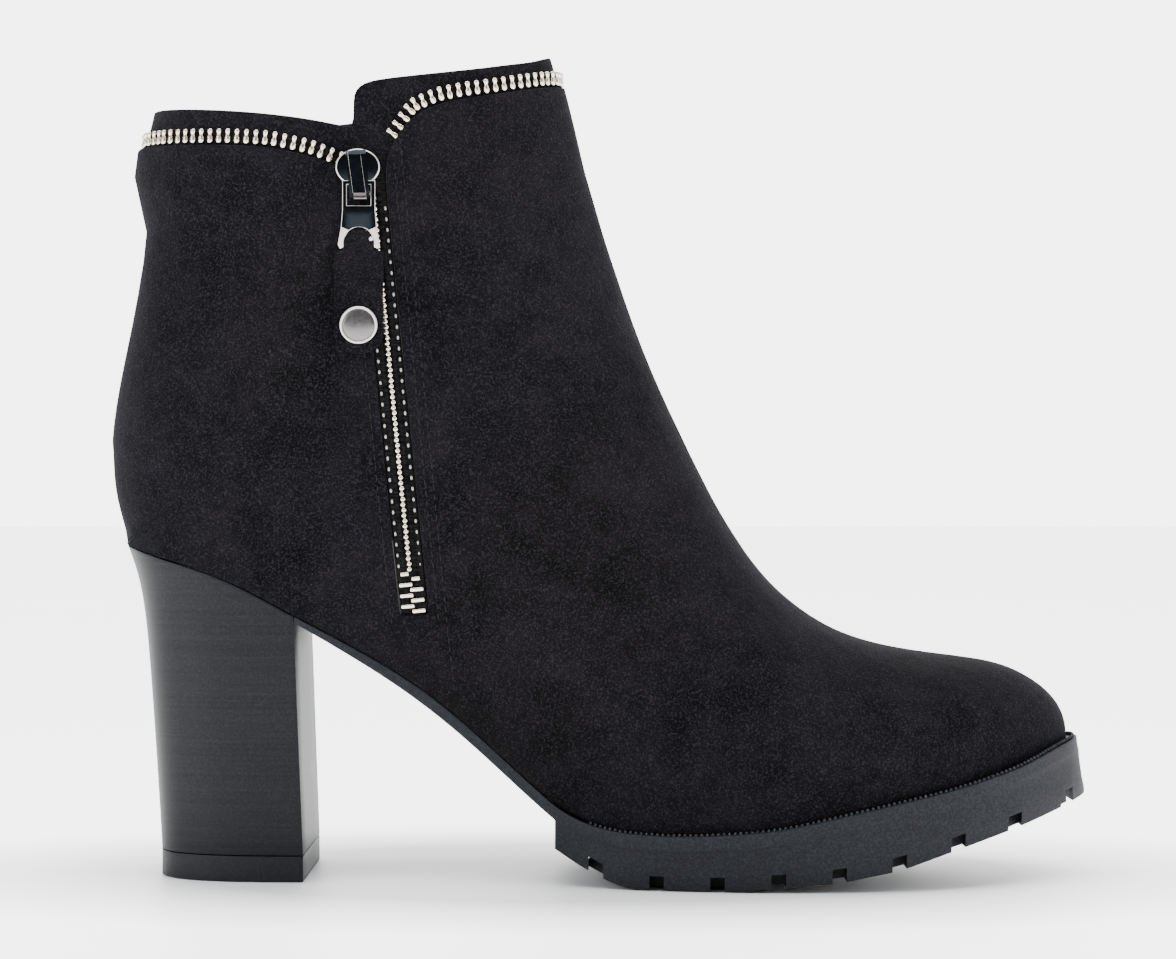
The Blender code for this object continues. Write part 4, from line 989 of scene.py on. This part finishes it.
def build_collar_teeth(node, name):
    """Teeth of the open zip along one stretch of the collar."""
    row = in_order(tooth_tops(node))
    places = []
    for k, spot in enumerate(row):
        way = (row[min(k + 1, len(row) - 1)] - row[max(k - 1, 0)]).normalized()
        out = spot - COLLAR_MIDDLE
        out.z = 0
        out = (out - way * out.dot(way)).normalized()
        up = out.cross(way).normalized()
        if up.z < 0:
            up = -up
        turn = Matrix((way, out, up)).transposed().to_4x4()
        if turn.determinant() < 0:
            turn = Matrix((-way, out, up)).transposed().to_4x4()
        places.append(Matrix.Translation(spot - up * TOOTH_DROP) @ turn)
    piece = build_row(tooth_model(), places, name, teeth_metal)
    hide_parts(node)


build_collar_teeth("collar_teeth_front", "open_teeth_front")
build_collar_teeth("collar_teeth_back", "open_teeth_back")


# Stitching
def build_stitches(name, across, first, last):
    """Row of black stitches down one side of the zip."""
    points = []
    normals = []
    for drop in np.linspace(first, last, STITCH_SAMPLES):
        spot = ZIP_TOP + ZIP_ALONG * drop + ZIP_ACROSS * across
        point, normal = on_side(spot.x, spot.y)
        points.append(point)
        normals.append(normal)
    places = []
    for spot, way in spread(points, STITCH_PITCH):
        nearest = min(range(len(points)), key=lambda k: (points[k] - spot).length)
        places.append(place_on(spot, way, normals[nearest], STITCH_LIFT))
    model = bead_model((STITCH_LENGTH / 2, STITCH_THICK / 2, STITCH_THICK / 2))
    build_row(model, places, name, black_thread)


for stitch_row in STITCH_ROWS:
    build_stitches(*stitch_row)


# Slider and pull
def middle_of(node):
    """X of the middle of a CAD node's box."""
    low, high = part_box(node)
    return (low[0] + high[0]) / 2


def hand_over(piece, node, body):
    """Attaches a piece that has more than one material to its body and hides the CAD node that it replaces.
    """
    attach(piece, body)
    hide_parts(node)


def brighten_legs(piece, middle):
    """Faces on the legs of the fork in the bright metal, a painted highlight."""
    for face in piece.data.polygons:
        if face.center.z < LEGS_TOP and abs(face.center.x - middle) > LEGS_GAP:
            face.material_index = 1


def build_pull_parts():
    """Slider, pull and tab with rounded edges. The smoked pull ends in bright edges, a painted highlight.
    """
    looks = (
        ("zip_slider", "slider_body", gunmetal, "slider_metal", SLIDER_EDGE, "boot"),
        ("zip_pull", "pull_fork", gunmetal, "slider_metal", FORK_EDGE, "pull"),
        ("pull_tab", "suede_tab", suede, "suede", TAB_EDGE, "pull"),
    )
    for node, name, material, slot, edge, body in looks:
        piece = cad_copy(node, name)
        middle = middle_of(node)
        wide = 1.0
        piece.data.materials.append(material)
        if node == "zip_pull":
            # Rounded edges and lower legs in the bright metal: painted highlight
            piece.data.materials.append(edge_highlight_metal)
            bevel(piece, edge, 3, 35, 1)
            brighten_legs(piece, middle)
        else:
            bevel(piece, edge, 3, 35)
        smooth_shade(piece, 40)
        if node == "pull_tab":
            wide = TAB_WIDTH / piece.dimensions.x
        piece.scale = (wide, 1, 1)
        piece.location = (middle * (1 - wide) + PULL_SHIFT, 0, 0)
        settle(piece)
        hand_over(piece, node, body)


def build_plate():
    """Oval top plate of the slider with a rolled rim in bright metal, a painted highlight."""
    tree = ray_tree(bpy.data.objects["slider_body"])
    x = middle_of("zip_slider") + PULL_SHIFT
    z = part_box("zip_slider")[1][2] - PLATE_SIZE[1]
    y = front_face(tree, x + PLATE_FEELER, z)
    bpy.ops.mesh.primitive_cylinder_add(vertices=72, radius=1, depth=1, rotation=(math.pi / 2, 0, 0))
    plate = bpy.context.object
    plate.name = "slider_plate"
    settle(plate)
    plate.scale = (PLATE_SIZE[0], PLATE_DEPTH, PLATE_SIZE[1])
    plate.location = (x, y - PLATE_PROUD + PLATE_DEPTH / 2, z)
    settle(plate)
    plate.data.materials.append(gunmetal)
    plate.data.materials.append(edge_highlight_metal)
    bevel(plate, PLATE_EDGE, 3, 50, 1)
    smooth_shade(plate, 40)
    hand_over(plate, "zip_slider", "boot")


def build_crown():
    """Narrow strip over the slider's bridge, from its top end down to the lower block."""
    tree = ray_tree(bpy.data.objects["slider_body"])
    low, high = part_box("zip_slider")
    top = CROWN_START + Vector((middle_of("zip_slider") + PULL_SHIFT, 0, high[2]))
    bpy.ops.mesh.primitive_cube_add(size=1)
    crown = bpy.context.object
    crown.name = "slider_crown"
    bpy.ops.object.mode_set(mode="EDIT")
    bpy.ops.mesh.select_all(action="SELECT")
    bpy.ops.mesh.subdivide(number_cuts=CROWN_CUTS)
    bpy.ops.object.mode_set(mode="OBJECT")
    # The strip follows the bridge, so its corners are placed one by one
    for vert in crown.data.vertices:
        spot = top + CROWN_RUN * (0.5 - vert.co.z)
        face = front_face(tree, spot.x, spot.z)
        y = (low[1] if face is None else face) + CROWN_LIFT + CROWN_THICK * vert.co.y
        vert.co = (spot.x + vert.co.x * CROWN_WIDTH, y, spot.z)
    crown.data.materials.append(gunmetal)
    # The strip's rounded edges take the bright metal: painted highlight
    crown.data.materials.append(edge_highlight_metal)
    bevel(crown, CROWN_EDGE, 3, 50, 1)
    crown.data.materials.append(nickel)
    for face in crown.data.polygons:
        if face.center.z < top.z + CROWN_RUN.z * CROWN_FOOT:
            face.material_index = 2
    smooth_shade(crown, 40)
    hand_over(crown, "zip_slider", "boot")


def build_glint_bead():
    """Small bright bead inside the fork's arch: a painted glint on the pull's bar."""
    tree = ray_tree(bpy.data.objects["suede_tab"])
    glint_bead = bead_model(GLINT_SIZE, 10, 14)
    glint_bead.name = "fork_glint_bead"
    glint_bead.location = (GLINT_PLACE.x, front_face(tree, GLINT_PLACE.x, GLINT_PLACE.y), GLINT_PLACE.y)
    settle(glint_bead)
    smooth_shade(glint_bead, 60)
    paint(glint_bead, edge_highlight_metal, "pull")
    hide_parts("zip_pull")


def build_rivet():
    """Domed rivet: a low cap that ends in a rolled rim in bright metal, a painted highlight."""
    low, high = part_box("pull_rivet")
    centre = (Vector(low) + Vector(high)) / 2 + Vector((PULL_SHIFT, 0, 0))
    radius = (high[0] - low[0]) / 2
    face = high[1]
    rise = high[1] - low[1]
    bpy.ops.mesh.primitive_uv_sphere_add(segments=48, ring_count=24, radius=1)
    cap = bpy.context.object
    cap.name = "rivet_cap"
    bpy.ops.object.mode_set(mode="EDIT")
    bpy.ops.mesh.select_all(action="SELECT")
    bpy.ops.mesh.bisect(plane_co=(0, 0, 0), plane_no=(0, 0, 1), clear_inner=True, use_fill=True)
    bpy.ops.object.mode_set(mode="OBJECT")
    cap.scale = (radius * RIVET_CAP, radius * RIVET_CAP, rise * RIVET_DOME)
    cap.rotation_euler = (math.pi / 2, 0, 0)
    cap.location = (centre.x, face, centre.z)
    settle(cap)
    smooth_shade(cap, 50)
    paint(cap, nickel, "pull")
    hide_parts("pull_rivet")
    bpy.ops.mesh.primitive_torus_add(
        major_radius=radius * RIVET_CAP, minor_radius=radius * RIVET_RIM,
        major_segments=48, minor_segments=12,
        location=(centre.x, face - rise * RIVET_RIM_LIFT, centre.z),
        rotation=(math.pi / 2, 0, 0))
    rim = bpy.context.object
    rim.name = "rivet_rim"
    settle(rim)
    smooth_shade(rim, 60)
    paint(rim, edge_highlight_metal, "pull")
    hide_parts("pull_rivet")


build_pull_parts()
build_plate()
build_crown()
build_glint_bead()
build_rivet()


# Stage: pale floor, soft studio light and the photograph's camera
def build_stage():
    """Flat pale floor that glows by itself, except near the boot."""
    material, tree, shader = start_material("pale floor", (0.86, 0.87, 0.88), 0.45)
    tone = ramp(tree, noise(tree, 3, 2), 0.3, 0.7, (.84, .85, .86), (.88, .88, .885))
    tree.links.new(tone, shader.inputs["Base Color"])
    tree.links.new(tone, shader.inputs["Emission Color"])
    coords = tree.nodes.new("ShaderNodeTexCoord")
    mapping = add_node(tree, "ShaderNodeMapping", Scale=GLOW_OVAL)
    near = tree.nodes.new("ShaderNodeTexGradient")
    near.gradient_type = "SPHERICAL"
    glow = add_node(tree, "ShaderNodeMapRange", From_Min=0.64, From_Max=0.30,
                    To_Min=0.0, To_Max=GLOW_STRENGTH)
    tree.links.new(coords.outputs["Object"], mapping.inputs["Vector"])
    tree.links.new(mapping.outputs["Vector"], near.inputs["Vector"])
    tree.links.new(near.outputs["Fac"], glow.inputs["Value"])
    tree.links.new(glow.outputs["Result"], shader.inputs["Emission Strength"])
    bpy.ops.mesh.primitive_plane_add(size=FLOOR_SIZE, location=(0, 0, -FLOOR_DROP))
    floor = bpy.context.object
    floor.name = "floor"
    settle(floor)
    floor.data.materials.append(material)


def add_light(name, place, aim, size, power, colour=(1, 1, 1)):
    """Soft rectangular light that faces a point."""
    data = bpy.data.lights.new(name, "AREA")
    data.shape = "RECTANGLE"
    data.size = size[0]
    data.size_y = size[1]
    data.energy = power
    data.color = colour
    lamp = bpy.data.objects.new(name, data)
    bpy.context.scene.collection.objects.link(lamp)
    lamp.location = place
    lamp.rotation_euler = (Vector(aim) - Vector(place)).to_track_quat("-Z", "Y").to_euler()


def build_lights():
    """Surroundings that are bright behind the boot, a large top light and two side lights."""
    world = bpy.data.worlds.new("white studio")
    world.use_nodes = True
    tree = world.node_tree
    coords = tree.nodes.new("ShaderNodeTexCoord")
    axes = tree.nodes.new("ShaderNodeSeparateXYZ")
    tree.links.new(coords.outputs["Generated"], axes.inputs["Vector"])
    behind = add_node(tree, "ShaderNodeMapRange", From_Min=0.55, From_Max=0.95)
    tree.links.new(axes.outputs["Y"], behind.inputs["Value"])
    tone = ramp(tree, behind.outputs["Result"], 0.0, 1.0, (.085, .088, .096), (1.0, 1.0, 1.0))
    tree.links.new(tone, tree.nodes["Background"].inputs["Color"])
    tree.nodes["Background"].inputs["Strength"].default_value = WORLD_STRENGTH
    bpy.context.scene.world = world
    add_light("top light", (0.0, -0.15, 1.3), (0, 0, 0.1), (1.4, 1.0), 26)
    add_light("left light", (-1.2, -0.75, 0.5), (0, 0, 0.1), (0.7, 0.9), 10, (0.95, 0.97, 1.0))
    add_light("right light", (1.2, -0.2, 0.5), (0, 0, 0.08), (0.9, 0.9), 7, (1.0, 0.97, 0.95))


def build_camera():
    """Camera of the photograph."""
    data = bpy.data.cameras.new("photo camera")
    data.sensor_fit = "HORIZONTAL"
    data.sensor_width = SENSOR_WIDTH
    data.lens = SENSOR_WIDTH * FOCAL_PIXELS / PHOTO_SIZE[0]
    camera = bpy.data.objects.new("photo camera", data)
    bpy.context.scene.collection.objects.link(camera)
    camera.location = CAMERA_PLACE
    camera.rotation_euler = (math.pi / 2, 0, 0)
    bpy.context.scene.camera = camera


build_stage()
build_lights()
build_camera()
